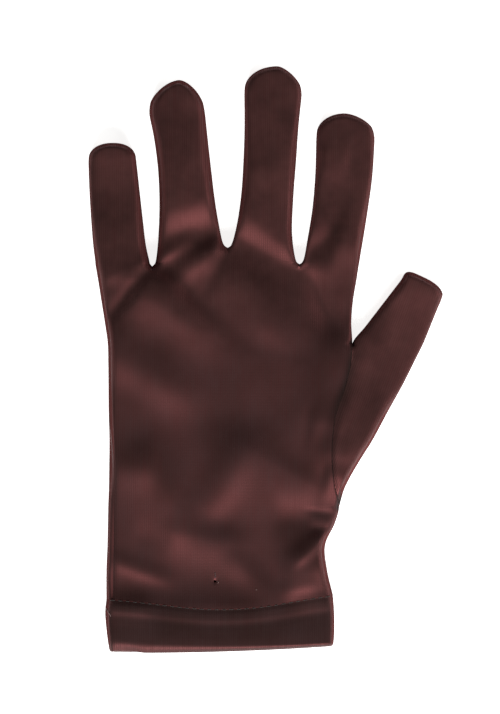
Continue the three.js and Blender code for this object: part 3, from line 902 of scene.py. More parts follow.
@dataclass(frozen=True)
class Shine:
    """Where the satin keeps its lustre, and where it is turned down towards a seam and its colour is
    lightened with painted light.
    """

    # What a face turned to the wrist adds, because the rounded lip of the hem keeps its shine
    wrist_share: float = 0.35
    # Between which facings the lustre rises from none to all
    facings: Plan = (0.6, 0.92)
    # The middle of the box that holds the thumb's furrow, and half its size
    furrow_middle: Plan = (28.0, -27.0)
    furrow_half: Plan = (12.0, 37.0)
    # Between which y the furrow's strip of painted shade, whose shine is taken off, begins, and between
    # which it ends
    shade_strip_from: Plan = (-30.0, -12.0)
    shade_strip_until: Plan = (-2.0, 6.0)
    # The strip's reach on the hand and on the thumb, and the share of the lustre that it takes
    shade_strip_reach: Plan = (1.9, 2.3)
    shade_strip_share: float = 0.75
    # Between which distances from the thumb's seam the colour lightened with painted light comes in
    painted_light_from: Plan = (0.8, 2.4)

    def at(self, points: np.ndarray, normals: np.ndarray) -> dict[str, np.ndarray]:
        """What the satin reads at points.

        Args:
            points: the points in millimetres.
            normals: the cloth's normals at them.

        Returns:
            How far the cloth is "turned" down towards a seam, which sets where painted light lightens its
            colour, and the "lustre" that it keeps, which goes there and in the furrow beside the thumb,
            where taking it off paints the shade of the seam's groove.
        """
        facing = np.abs(normals[:, 2]) + self.wrist_share * np.maximum(-normals[:, 1], 0.0)
        kept = smoothstep(facing, *self.facings)
        turned = 1.0 - kept
        close = (np.abs(points[:, :2] - self.furrow_middle) < self.furrow_half).all(axis=1)
        beside = np.flatnonzero(close & (normals[:, 2] > 0.0))
        if len(beside):
            distance, ways = distance_to(THUMB_SEAM, points[beside, :2])
            y = points[beside, 1]
            along = smoothstep(y, *self.shade_strip_from) * (1.0 - smoothstep(y, *self.shade_strip_until))
            reach = np.where(ways[:, 0] < 0.0, *self.shade_strip_reach)
            # Painted shade: the shine is taken off a strip beside the thumb's seam, where its groove lies in
            # shade
            kept[beside] *= 1.0 - self.shade_strip_share * along * np.exp(-((distance / reach) ** 2))
            # No painted light goes on that strip near the seam, so that it stays dark
            turned[beside] *= smoothstep(distance, *self.painted_light_from)
        return {"turned": turned, "lustre": kept}


def mesh_object(
    name: str,
    points: np.ndarray,
    faces: Sequence[tuple[int, ...]],
    material: bpy.types.Material,
    flat: np.ndarray | None = None,
) -> bpy.types.Object:
    """Makes a smooth mesh from millimetres.

    Args:
        name: the name of the piece.
        points: its points in millimetres.
        faces: its faces, turned outwards.
        material: its finish.
        flat: the cloth's flat measure at each point, kept as a UV map in metres.

    Returns:
        The new object, at the origin.
    """
    mesh = bpy.data.meshes.new(name)
    mesh.from_pydata((points * MM).tolist(), [], [tuple(int(corner) for corner in face) for face in faces])
    mesh.update()
    mesh.shade_smooth()
    mesh.set_sharp_from_angle(angle=math.radians(SHARP_ANGLE))
    if flat is not None:
        corners = np.empty(len(mesh.loops), dtype=int)
        mesh.loops.foreach_get("vertex_index", corners)
        layer = mesh.uv_layers.new(name="flat cloth")
        layer.data.foreach_set("uv", (flat[corners] * MM).ravel())
        normals = np.empty(3 * len(mesh.vertices))
        mesh.vertices.foreach_get("normal", normals)
        for label, values in Shine().at(points, normals.reshape(-1, 3)).items():
            mesh.attributes.new(label, "FLOAT", "POINT").data.foreach_set("value", values)
    mesh.materials.append(material)
    made = bpy.data.objects.new(name, mesh)
    bpy.context.scene.collection.objects.link(made)
    return made


# Finishes


def linear(colour: str) -> tuple[float, float, float, float]:
    """Turns a colour to linear for a shader.

    Args:
        colour: its sRGB hex value, such as #201917.

    Returns:
        Red, green, blue and an alpha of 1.
    """
    parts = [int(colour[i : i + 2], 16) / 255 for i in (1, 3, 5)]
    parts = [part / 12.92 if part <= 0.04045 else ((part + 0.055) / 1.055) ** 2.4 for part in parts]
    return (*parts, 1.0)


def add_node(
    tree: bpy.types.NodeTree, kind: str, settings: dict[str, object] | None = None, **inputs: object
) -> bpy.types.Node:
    """Adds a node with its settings and links.

    Args:
        tree: the tree that gets the node.
        kind: the node's type name.
        settings: values for the node's own properties.
        inputs: a value or an output for each input, by the input's name with _ for a space, or by
            i and its number.

    Returns:
        The new node.
    """
    node = tree.nodes.new(kind)
    for key, value in (settings or {}).items():
        setattr(node, key, value)
    for key, value in inputs.items():
        numbered = key[0] == "i" and key[1:].isdigit()
        socket = node.inputs[int(key[1:])] if numbered else node.inputs[key.replace("_", " ")]
        if isinstance(value, bpy.types.NodeSocket):
            tree.links.new(value, socket)
        else:
            socket.default_value = value
    return node


def new_material(name: str) -> tuple[bpy.types.Material, bpy.types.NodeTree]:
    """Starts a material.

    Args:
        name: the name of the material.

    Returns:
        The material, and its empty node tree.
    """
    material = bpy.data.materials.new(name)
    material.use_nodes = True
    material.node_tree.nodes.clear()
    return material, material.node_tree


@dataclass(frozen=True)
class StretchSatin:
    """Warp-knitted stretch satin: a fine lustrous knit with lines of stitches, the wales, along it.

    Its filament yarns give a broad soft sheen on every slope and stay dark where they face away. Where the
    mesh's attribute "turned" is high, the cloth turns down steeply towards its seams and its colour is mixed
    towards the lighter matt colour: painted light that stands in for light on those sides.
    """

    name: str
    deep: str = "#201917"
    red: str = "#362422"
    grey: str = "#261e1d"
    # The matt colour is lighter: painted light for the steep cloth beside the seams and edges
    matt: str = "#583231"
    shine: str = "#df7c7c"
    roughness: float = 0.5
    roughness_spread: float = 0.06
    grain_turn: float = 0.0
    # Distances between wales and between courses, set so that they show. Real satin may be finer.
    wale_pitch: float = 0.85
    course_pitch: float = 0.6
    wale_height: float = 0.03
    # The y about which the grey cloth turns redder, and where that starts and ends from there
    redder_above: float = 30.0
    redder_over: Plan = (-45.0, 25.0)

    def build(self) -> bpy.types.Material:
        """The material, whose pattern follows the piece's flat cloth."""
        material, tree = new_material(self.name)
        flat = add_node(tree, "ShaderNodeUVMap", {"uv_map": "flat cloth"})
        grain = add_node(
            tree,
            "ShaderNodeMapping",
            Vector=flat.outputs["UV"],
            Scale=(1000.0, 1000.0, 1000.0),
            Rotation=(0.0, 0.0, math.radians(self.grain_turn)),
        ).outputs["Vector"]
        stretched = add_node(tree, "ShaderNodeMapping", Vector=grain, Scale=(1.0, 0.06, 1.0))
        streaks = add_node(
            tree,
            "ShaderNodeTexNoise",
            Vector=stretched.outputs["Vector"],
            Scale=0.9,
            Detail=3.0,
            Roughness=0.6,
        ).outputs["Fac"]
        wales = add_node(
            tree,
            "ShaderNodeTexWave",
            {"wave_type": "BANDS", "bands_direction": "X", "wave_profile": "SIN"},
            Vector=grain,
            Scale=BAND_SCALE / self.wale_pitch,
            Distortion=0.9,
            Detail=2.0,
            Detail_Scale=0.6,
        ).outputs["Fac"]
        courses = add_node(
            tree,
            "ShaderNodeTexWave",
            {"wave_type": "BANDS", "bands_direction": "Y", "wave_profile": "SIN"},
            Vector=grain,
            Scale=BAND_SCALE / self.course_pitch,
            Distortion=1.2,
            Detail=2.0,
        ).outputs["Fac"]
        yarn = add_node(
            tree, "ShaderNodeTexNoise", Vector=grain, Scale=1.6, Detail=4.0, Roughness=0.7
        ).outputs["Fac"]
        patches = add_node(
            tree, "ShaderNodeTexNoise", Vector=grain, Scale=0.06, Detail=3.0, Roughness=0.55
        ).outputs["Fac"]
        place = add_node(tree, "ShaderNodeTexCoord").outputs["Object"]
        along = add_node(tree, "ShaderNodeSeparateXYZ", Vector=place).outputs["Y"]
        finger_share = add_node(
            tree,
            "ShaderNodeMapRange",
            {"interpolation_type": "SMOOTHSTEP"},
            Value=along,
            From_Min=(self.redder_above + self.redder_over[0]) * MM,
            From_Max=(self.redder_above + self.redder_over[1]) * MM,
        ).outputs["Result"]
        body = add_node(
            tree,
            "ShaderNodeMix",
            {"data_type": "RGBA"},
            i0=finger_share,
            i6=linear(self.grey),
            i7=linear(self.red),
        ).outputs[2]
        patch_share = add_node(
            tree, "ShaderNodeMapRange", Value=patches, From_Min=0.35, From_Max=0.65
        ).outputs["Result"]
        mottled = add_node(
            tree, "ShaderNodeMix", {"data_type": "RGBA"}, i0=patch_share, i6=body, i7=linear(self.deep)
        ).outputs[2]
        # Painted light: where the cloth turns down steeply, its colour is mixed towards the lighter matt
        # colour
        turned = add_node(tree, "ShaderNodeAttribute", {"attribute_name": "turned"}).outputs["Fac"]
        dye_and_painted_light = add_node(
            tree, "ShaderNodeMix", {"data_type": "RGBA"}, i0=turned, i6=mottled, i7=linear(self.matt)
        ).outputs[2]
        centred = add_node(
            tree, "ShaderNodeMath", {"operation": "MULTIPLY_ADD"}, i0=streaks, i1=1.2, i2=-0.6
        ).outputs[0]
        lines = add_node(
            tree, "ShaderNodeMath", {"operation": "MULTIPLY_ADD"}, i0=wales, i1=0.5, i2=centred
        ).outputs[0]
        brightness = add_node(
            tree, "ShaderNodeMapRange", Value=lines, From_Min=-0.2, From_Max=0.7, To_Min=0.7, To_Max=1.3
        ).outputs["Result"]
        colour = add_node(
            tree, "ShaderNodeVectorMath", {"operation": "SCALE"}, i0=dye_and_painted_light, Scale=brightness
        ).outputs["Vector"]
        rough = add_node(
            tree,
            "ShaderNodeMapRange",
            Value=lines,
            From_Min=-0.2,
            From_Max=0.7,
            To_Min=self.roughness + self.roughness_spread,
            To_Max=self.roughness - self.roughness_spread,
        ).outputs["Result"]
        knit = add_node(
            tree, "ShaderNodeMath", {"operation": "MULTIPLY_ADD"}, i0=courses, i1=0.35, i2=wales
        ).outputs[0]
        relief = add_node(
            tree, "ShaderNodeMath", {"operation": "MULTIPLY_ADD"}, i0=yarn, i1=0.6, i2=knit
        ).outputs[0]
        bump = add_node(
            tree, "ShaderNodeBump", Strength=0.5, Distance=self.wale_height * MM, Height=relief
        ).outputs["Normal"]
        # The lustre sets the shine: none on steep sides, and less beside the thumb's seam as painted shade
        lustre = add_node(tree, "ShaderNodeAttribute", {"attribute_name": "lustre"}).outputs["Fac"]
        shader = add_node(
            tree,
            "ShaderNodeBsdfPrincipled",
            Base_Color=colour,
            Roughness=rough,
            IOR=1.5,
            Specular_IOR_Level=lustre,
            Specular_Tint=linear(self.shine),
            Normal=bump,
        )
        add_node(tree, "ShaderNodeOutputMaterial", Surface=shader.outputs["BSDF"])
        return material


@dataclass(frozen=True)
class SewingThread:
    """Spun polyester sewing thread: matt, with a fine twist across it."""

    name: str
    colour: str
    # How much brighter the plies are than the lines between them
    ply_brightness: float = 1.6
    # Distance between the lines of the twist, set so that they show. Real thread may be finer.
    twist_pitch: float = 0.5
    twist_turn: float = 35.0
    twist_depth: float = 0.08

    def build(self) -> bpy.types.Material:
        """The material, whose twist runs across the thread in place."""
        material, tree = new_material(self.name)
        place = add_node(tree, "ShaderNodeTexCoord").outputs["Object"]
        turned = add_node(
            tree,
            "ShaderNodeMapping",
            Vector=place,
            Scale=(1000.0, 1000.0, 1000.0),
            Rotation=(0.0, 0.0, math.radians(self.twist_turn)),
        ).outputs["Vector"]
        twist = add_node(
            tree,
            "ShaderNodeTexWave",
            {"wave_type": "BANDS", "bands_direction": "X"},
            Vector=turned,
            Scale=BAND_SCALE / self.twist_pitch,
            Distortion=0.5,
        ).outputs["Fac"]
        dark = linear(self.colour)
        light = (*(self.ply_brightness * part for part in dark[:3]), 1.0)
        colour = add_node(
            tree, "ShaderNodeMix", {"data_type": "RGBA"}, i0=twist, i6=dark, i7=light
        ).outputs[2]
        rough = add_node(tree, "ShaderNodeMapRange", Value=twist, To_Min=0.75, To_Max=0.6).outputs["Result"]
        bump = add_node(
            tree, "ShaderNodeBump", Strength=0.6, Distance=self.twist_depth * MM, Height=twist
        ).outputs["Normal"]
        shader = add_node(
            tree,
            "ShaderNodeBsdfPrincipled",
            Base_Color=colour,
            Roughness=rough,
            IOR=1.5,
            Sheen_Weight=0.2,
            Normal=bump,
        )
        add_node(tree, "ShaderNodeOutputMaterial", Surface=shader.outputs["BSDF"])
        return material


@dataclass(frozen=True)
class OpalSheet:
    """The opal sheet of a light table: matt white, lit from behind, with a faint cloudiness."""

    name: str = "light table"
    colour: str = "#f4f4f3"
    glow: float = 0.92

    def build(self) -> bpy.types.Material:
        """The material of the floor."""
        material, tree = new_material(self.name)
        place = add_node(tree, "ShaderNodeTexCoord").outputs["Object"]
        clouds = add_node(tree, "ShaderNodeTexNoise", Vector=place, Scale=3.0, Detail=2.0).outputs["Fac"]
        tone = add_node(tree, "ShaderNodeMapRange", Value=clouds, To_Min=0.985, To_Max=1.0).outputs["Result"]
        colour = add_node(
            tree, "ShaderNodeVectorMath", {"operation": "SCALE"}, i0=linear(self.colour)[:3], Scale=tone
        ).outputs["Vector"]
        shader = add_node(
            tree,
            "ShaderNodeBsdfPrincipled",
            Base_Color=colour,
            Roughness=0.95,
            Specular_IOR_Level=0.1,
            Emission_Color=linear(self.colour),
            Emission_Strength=self.glow,
        )
        add_node(tree, "ShaderNodeOutputMaterial", Surface=shader.outputs["BSDF"])
        return material


# Pieces of the glove


@dataclass
class Panel:
    """One face of the hand with its halves of the four fingers."""

    name: str
    side: Side
    drape: Drape
    thickness: float = 0.7
    # Distance between rows, and the columns of a finger beside an edge and between its edges
    pitch: float = 1.1
    edge_steps: int = 7
    middle_steps: int = 14
    tip_rows: int = 16
    # Depth and width of the crease along the hand's left seam
    crease: float = 0.35
    crease_width: float = 0.8
    # How far that seam lies up over the edge, as turns that each ease off between two y
    left_leans: Table = ((83.0, -46.0, -6.0), (5.0, -92.0, -46.0))
    # A seam that lies further up than this has square edges
    square_past: float = 40.0
    # Between which shares of a finger its lean comes in, and between which it goes
    lean_from: Plan = (0.0, 0.2)
    lean_until: Plan = (0.72, 0.95)
    # Powers by which the rows take on the line of the fingers' bases, and lose the sag of the hem
    base_power: int = 3
    sag_power: int = 6

    @property
    def columns(self) -> int:
        """Columns of faces across one finger."""
        return 2 * self.edge_steps + self.middle_steps

    def seam_turn(self, lean: float = 0.0) -> float:
        """The turn of this panel's edge beside a seam at the turn lean.

        A rounded edge stands half the cloth's thickness back, and a square one butts at the seam.
        """
        back = 0.0 if self.butts(lean) else self.thickness / 2
        return EDGE.turn_past(lean, self.side.value * (back + SEWN_GAP / 2))

    def butts(self, lean: float) -> bool:
        """Whether the edge is square, where the seam lies well up on the back."""
        return lean > self.square_past

    def edge_turns(self, lean: float) -> np.ndarray:
        """Turns of the columns beside an edge, whose seam lies at the turn lean."""
        return np.linspace(self.seam_turn(lean), self.side.value * 90.0, self.edge_steps + 1)

    def spread(self, width: float, columns: int, lean: tuple[float, float]) -> tuple[np.ndarray, ...]:
        """Columns across a row.

        Args:
            width: the length of the row.
            columns: the number of faces across it.
            lean: the turn of the seam at the left and at the right.

        Returns:
            Distances from the left end, the side and the turn of each column.
        """
        turns_left, turns_right = self.edge_turns(lean[0]), self.edge_turns(lean[1])
        roll = BACK_ROLL if self.side is Side.BACK else PALM_ROLL
        shrink = min(1.0, ROLL_SHARE * width / roll)
        left = EDGE.place(turns_left) * shrink
        right = width - EDGE.place(turns_right) * shrink
        steps = columns - 2 * self.edge_steps
        middle = np.linspace(left[-1], right[-1], steps + 1)[1:-1]
        free = np.full(len(middle), self.side.value, dtype=float)
        side = np.concatenate(
            [np.where(turns_left >= 0, 1.0, -1.0), free, np.where(turns_right[::-1] >= 0, 1.0, -1.0)]
        )
        turn = np.full(columns + 1, np.nan)
        turn[0], turn[-1] = turns_left[0], turns_right[0]
        return np.concatenate([left, middle, right[::-1]]), side, turn

    def add_finger(self, face: ClothFace, finger: Digit, base: np.ndarray) -> None:
        """Adds the rows of a finger above its base row.

        Args:
            face: the face that gets them.
            finger: the finger in plan.
            base: the numbers of the base row's points.
        """
        lefts, rights = finger.row_ends(self.pitch, self.tip_rows)
        before = base
        for number, (left, right) in enumerate(zip(lefts, rights)):
            if number == 0:
                continue
            width = float(np.linalg.norm(right - left))
            if width > NO_WIDTH:
                share = number / len(lefts)
                leaning = float(smoothstep(share, *self.lean_from))
                leaning *= float(1.0 - smoothstep(share, *self.lean_until))
                lean = (finger.lean[0] * leaning, finger.lean[1] * leaning)
                distances, side, turn = self.spread(width, self.columns, lean)
                places = left + np.outer(distances / width, right - left)
                row = face.add_row(places, side, turn)
            else:
                turn = np.array([self.seam_turn()])
                row = face.add_row(left[None], np.array([float(self.side.value)]), turn)
            face.join(before, row, self.side)
            before = row

    def side_lean(self, y: float) -> float:
        """How far the hand's left seam lies up over the edge, as a turn."""
        return sum(turn * float(1.0 - smoothstep(y, low, high)) for turn, low, high in self.left_leans)

    def hand_rows(self, face: ClothFace) -> list[np.ndarray]:
        """Adds the rows of the hand.

        Args:
            face: the face that gets them.

        Returns:
            The numbers of each row's points, from the hem to the fingers.
        """
        shares = even_shares(HAND_LEFT, HAND_RIGHT, self.pitch)
        lefts, rights = smooth_curve(HAND_LEFT, shares), smooth_curve(HAND_RIGHT, shares)
        bases = self.finger_bases()
        whole = bases[-1] - bases[0]
        finger_share = (bases[:, 0] - bases[0, 0]) / whole[0]
        edge = self.edge_steps
        count = len(bases) - 1
        middle_share = (bases[:, 0] - bases[edge, 0]) / (bases[-1 - edge, 0] - bases[edge, 0])
        seam_low, seam_high = (row / (len(HAND_LEFT) - 1) for row in (THUMB_END_ROW, INDEX_THUMB_ROW))
        full_lean = sum(turn for turn, _, _ in self.left_leans)
        rows = []
        for share, left, right in zip(shares, lefts, rights):
            on_thumb = seam_low - SAME <= share <= seam_high + SAME
            width = float(right[0] - left[0])
            lean = self.side_lean(left[1])
            distances, side, turn = self.spread(width, count, (lean, 0.0))
            from_seam = distances - EDGE.place(np.array(lean))
            crease = -self.crease * lean / full_lean * np.exp(-((from_seam / self.crease_width) ** 2))
            sewn = list(range(count + 1)) if share == 0 else [0] if self.butts(lean) else []
            if on_thumb:
                sewn.append(count)
                flat_right = np.linspace(0.0, PALM_ROLL, edge + 1)[::-1]
                distances[-1 - edge :] = width - SEWN_GAP - flat_right
                side[-1 - edge :] = self.side.value
                turn[-1] = np.nan
            even = np.linspace(0.0, 1.0, count - 2 * edge + 1)
            blended = even + (middle_share[edge : count - edge + 1] - even) * share
            low, high = distances[edge], distances[-1 - edge]
            distances[edge : count - edge + 1] = low + (high - low) * blended
            across = distances / width
            rise = bases[:, 1] - (bases[0, 1] + whole[1] * finger_share)
            places = left + np.outer(across, right - left)
            sag = (1 - share) ** self.sag_power * hem_sag(across)
            places[:, 1] += share**self.base_power * rise - sag
            if share == 0:
                places[:, 1] += SEWN_GAP
            if share == shares[-1]:
                places = bases
                turn = self.base_turns()
            rows.append(face.add_row(places, side, turn, crease, sewn))
        return rows

    def finger_bases(self) -> np.ndarray:
        """The places where the hand's cloth meets the fingers, from left to right."""
        points = []
        for number, finger in enumerate(FINGERS):
            left, right = np.array(finger.left[0]), np.array(finger.right[0])
            width = float(np.linalg.norm(right - left))
            distances, _, _ = self.spread(width, self.columns, (0.0, 0.0))
            places = left + np.outer(distances / width, right - left)
            places[0], places[-1] = left, right
            points.append(places if number == 0 else places[1:])
        return np.vstack(points)

    def base_turns(self) -> np.ndarray:
        """The turns of the row of bases: the seam's at the gaps between the fingers, and NaN elsewhere."""
        turn = np.full(len(FINGERS) * self.columns + 1, np.nan)
        turn[:: self.columns] = self.seam_turn()
        return turn

    def build(self, material: bpy.types.Material) -> bpy.types.Object:
        """Makes the panel.

        Args:
            material: its finish.

        Returns:
            The finished object.
        """
        face = ClothFace(self.drape, least_turn=abs(self.seam_turn()), facing=self.side)
        rows = self.hand_rows(face)
        for low, high in zip(rows, rows[1:]):
            face.join(low, high, self.side)
        if self.side is Side.BACK:
            face.pierce(SNAG, SNAG_SIZE)
        for number, finger in enumerate(FINGERS):
            base = rows[-1][number * self.columns : (number + 1) * self.columns + 1]
            self.add_finger(face, finger, base)
        points, faces, flat = face.closed(self.thickness)
        return mesh_object(self.name, points, faces, material, flat)


def hem_sag(across: np.ndarray) -> np.ndarray:
    """How far the hem's stitched line sags at shares of the way across."""
    lean, fullness = HEM_SAG_POWERS
    return HEM_SAG * np.sin(np.pi * np.clip(across, 0.0, 1.0) ** lean) ** fullness


def mouth_sag(across: np.ndarray) -> np.ndarray:
    """How far the hem's open edge sags at shares of the way across."""
    return MOUTH_SAG * 4 * across * (1 - across)


def hem_lines(across: np.ndarray) -> tuple[np.ndarray, np.ndarray]:
    """Where the hem's two edges run.

    Args:
        across: shares of the way from the left to the right.

    Returns:
        The y of the stitched line, and that of the open edge.
    """
    line = HEM_LEFT[0][1] + (HEM_RIGHT[0][1] - HEM_LEFT[0][1]) * across - hem_sag(across)
    mouth = HEM_LEFT[-1][1] + (HEM_RIGHT[-1][1] - HEM_LEFT[-1][1]) * across
    return line, mouth - mouth_sag(across)


def on_the_back(drape: Drape, places: np.ndarray, above: np.ndarray) -> np.ndarray:
    """Points over the hand's cloth or the hem's.

    Args:
        drape: how high the cloth lies.
        places: the places in plan.
        above: the height of each point above the cloth.

    Returns:
        One row of x, y and z for each place.
    """
    across = (places[:, 0] - HEM_LEFT[0][0]) / (HEM_RIGHT[0][0] - HEM_LEFT[0][0])
    line, mouth = hem_lines(np.clip(across, 0.0, 1.0))
    past, from_mouth = (np.maximum(gap, 0.0) for gap in (line - places[:, 1], places[:, 1] - mouth))
    extra = HemRoll().lift(past, from_mouth, across)
    face = ClothFace(drape)
    face.add_row(places, np.ones(len(places)), np.full(len(places), np.nan), extra)
    return face.lifted()[0] + np.column_stack([np.zeros((len(places), 2)), above])


@dataclass
class ThumbTube:
    """The thumb: a tube folded flat, closed at its tip and sewn into the side of the hand."""

    drape: Drape
    thickness: float = 0.7
    # Distance between rows, and the columns of one side beside an edge and between its edges
    pitch: float = 1.1
    edge_steps: int = 7
    middle_steps: int = 14
    tip_rows: int = 16

    def row(self, left: np.ndarray, right: np.ndarray, free: bool) -> tuple[np.ndarray, ...]:
        """The columns right round one row, over the top from the left and back underneath.

        Args:
            left: the row's left end.
            right: its right end.
            free: whether the row is clear of the hand, so that its left edge is rounded too.

        Returns:
            The places, sides and turns of the row.
        """
        width = float(np.linalg.norm(right - left))
        parts = []
        for side, roll in ((1.0, BACK_ROLL), (-1.0, PALM_ROLL)):
            shrink = min(1.0, ROLL_SHARE * width / roll)
            round_edge = EDGE.place(side * np.linspace(JUST_PAST, 90.0, self.edge_steps + 1)) * shrink
            even_edge = np.linspace(0.0, roll * shrink, self.edge_steps + 1)
            start = round_edge if free else even_edge
            end = width - round_edge[::-1]
            middle = np.linspace(start[-1], end[0], self.middle_steps + 1)[1:-1]
            distances = np.concatenate([start, middle, end])
            turn = np.full(len(distances), np.nan)
            turn[-1] = 0.0
            if free:
                turn[0] = 0.0
            places = left + np.outer(distances / width, right - left)
            parts.append((places, np.full(len(distances), side), turn))
        (top, top_side, top_turn), (low, low_side, low_turn) = parts
        places = np.vstack([top, low[::-1][1:]])
        side = np.concatenate([top_side, low_side[::-1][1:]])
        turn = np.concatenate([top_turn, low_turn[::-1][1:]])
        if free:
            return places[:-1], side[:-1], turn[:-1]
        return places, side, turn

    def build(self, material: bpy.types.Material) -> bpy.types.Object:
        """Makes the thumb.

        Args:
            material: its finish.

        Returns:
            The finished object.
        """
        lefts, rights = THUMB.row_ends(self.pitch, self.tip_rows)
        shares = even_shares(THUMB.left, THUMB.right, self.pitch)
        seam_share = THUMB_SEAM_SECTIONS / (len(THUMB.left) - 1)
        face = ClothFace(self.drape)
        before = None
        for number, (left, right) in enumerate(zip(lefts, rights)):
            sewn = number < len(shares) and shares[number] < seam_share - SAME
            left = left + ([SEWN_GAP, 0.0] if sewn else [0.0, 0.0])
            width = float(np.linalg.norm(right - left))
            if number == 0:
                row = face.add_row(left[None], np.ones(1), np.zeros(1), sewn=[0])
            elif width < NO_WIDTH:
                row = face.add_row(right[None], np.ones(1), np.zeros(1))
            else:
                row = face.add_row(*self.row(left, right, not sewn), sewn=[0, -1] if sewn else [])
                if not sewn:
                    row = np.append(row, row[0])
            if before is not None:
                face.join(before, row)
            before = row
        points, faces, flat = face.closed(self.thickness)
        return mesh_object("thumb_cloth", points, faces, material, flat)


@dataclass
class Hem:
    """The hem: the satin turned in and doubled, a band right round the wrist."""

    drape: Drape
    roll: HemRoll = HemRoll()
    thickness: float = 1.5
    rows: int = 44
    # Above 1, the rows lie closer towards the open edge
    row_power: float = 1.3
    columns: int = 104
    edge_steps: int = 8
    lip_steps: int = 8
    # The share of the band's height from which its lower corners take their own form
    corners_from: float = 0.8
    # How far the back's open edge is drawn up near the left corner, and where across that starts and ends
    corner_gape: float = 0.9
    gape_from: Plan = (0.0, 0.03)
    gape_until: Plan = (0.07, 0.17)
    corner_round: float = 1.5

    def columns_across(self, width: float, side: Side) -> np.ndarray:
        """Places the columns of a row.

        Args:
            width: the length of the row.
            side: the side that the row is on.

        Returns:
            The distance of each column from the left edge.
        """
        edge = EDGE.place(side.value * np.linspace(JUST_PAST, 90.0, self.edge_steps + 1))
        middle = np.linspace(edge[-1], width - edge[-1], self.columns - 2 * self.edge_steps + 1)[1:-1]
        return np.concatenate([edge, middle, width - edge[::-1]])

    def half_row(
        self, side: Side, share: float, left: np.ndarray, right: np.ndarray
    ) -> tuple[np.ndarray, ...]:
        """One side of a row.

        Args:
            side: the back or the palm.
            share: how far down the band the row lies, from 0 to 1.
            left: the row's left end.
            right: its right end.

        Returns:
            The places, sides and turns of the points, and the height added to each.
        """
        width = float(np.linalg.norm(right - left))
        across = self.columns_across(width, side) / width
        places = left + np.outer(across, right - left)
        places[:, 1] -= hem_sag(across) * (1 - share) + mouth_sag(across) * share
        if share == 0:
            places[:, 1] -= SEWN_GAP
        extra = np.zeros(len(across))
        low_down = smoothstep(share, self.corners_from, 1.0)
        if side is Side.BACK:
            line, mouth = hem_lines(across)
            extra = self.roll.lift(line - places[:, 1], places[:, 1] - mouth, across)
            gape = smoothstep(across, *self.gape_from) * (1 - smoothstep(across, *self.gape_until))
            places[:, 1] += self.corner_gape * gape * low_down
        past = np.clip(1.0 - width * np.minimum(across, 1.0 - across) / self.corner_round, 0.0, 1.0)
        places[:, 1] += self.corner_round * (1.0 - np.sqrt(1.0 - past**2)) * low_down
        turn = np.full(len(across), np.nan)
        turn[0] = turn[-1] = 0.0
        return places, np.full(len(across), float(side.value)), turn, extra

    def build(self, material: bpy.types.Material) -> bpy.types.Object:
        """Makes the band.

        Args:
            material: its finish.

        Returns:
            The finished object.
        """
        shares = 1.0 - np.linspace(0.0, 1.0, self.rows + 1) ** self.row_power
        lefts, rights = smooth_curve(HEM_LEFT, shares), smooth_curve(HEM_RIGHT, shares)
        face = ClothFace(self.drape)
        before = None
        for share, left, right in zip(shares, lefts, rights):
            top, low = (self.half_row(side, share, left, right) for side in Side)
            ring = [np.concatenate([a[:-1], b[::-1][:-1]]) for a, b in zip(top, low)]
            row = face.add_row(*ring, sewn=range(len(ring[0])) if share == 0 else ())
            row = np.append(row, row[0])
            if before is not None:
                face.join(before, row)
            before = row
        points, faces, flat = face.closed(self.thickness, rounds=self.lip_steps)
        return mesh_object("hem_band", points, faces, material, flat)


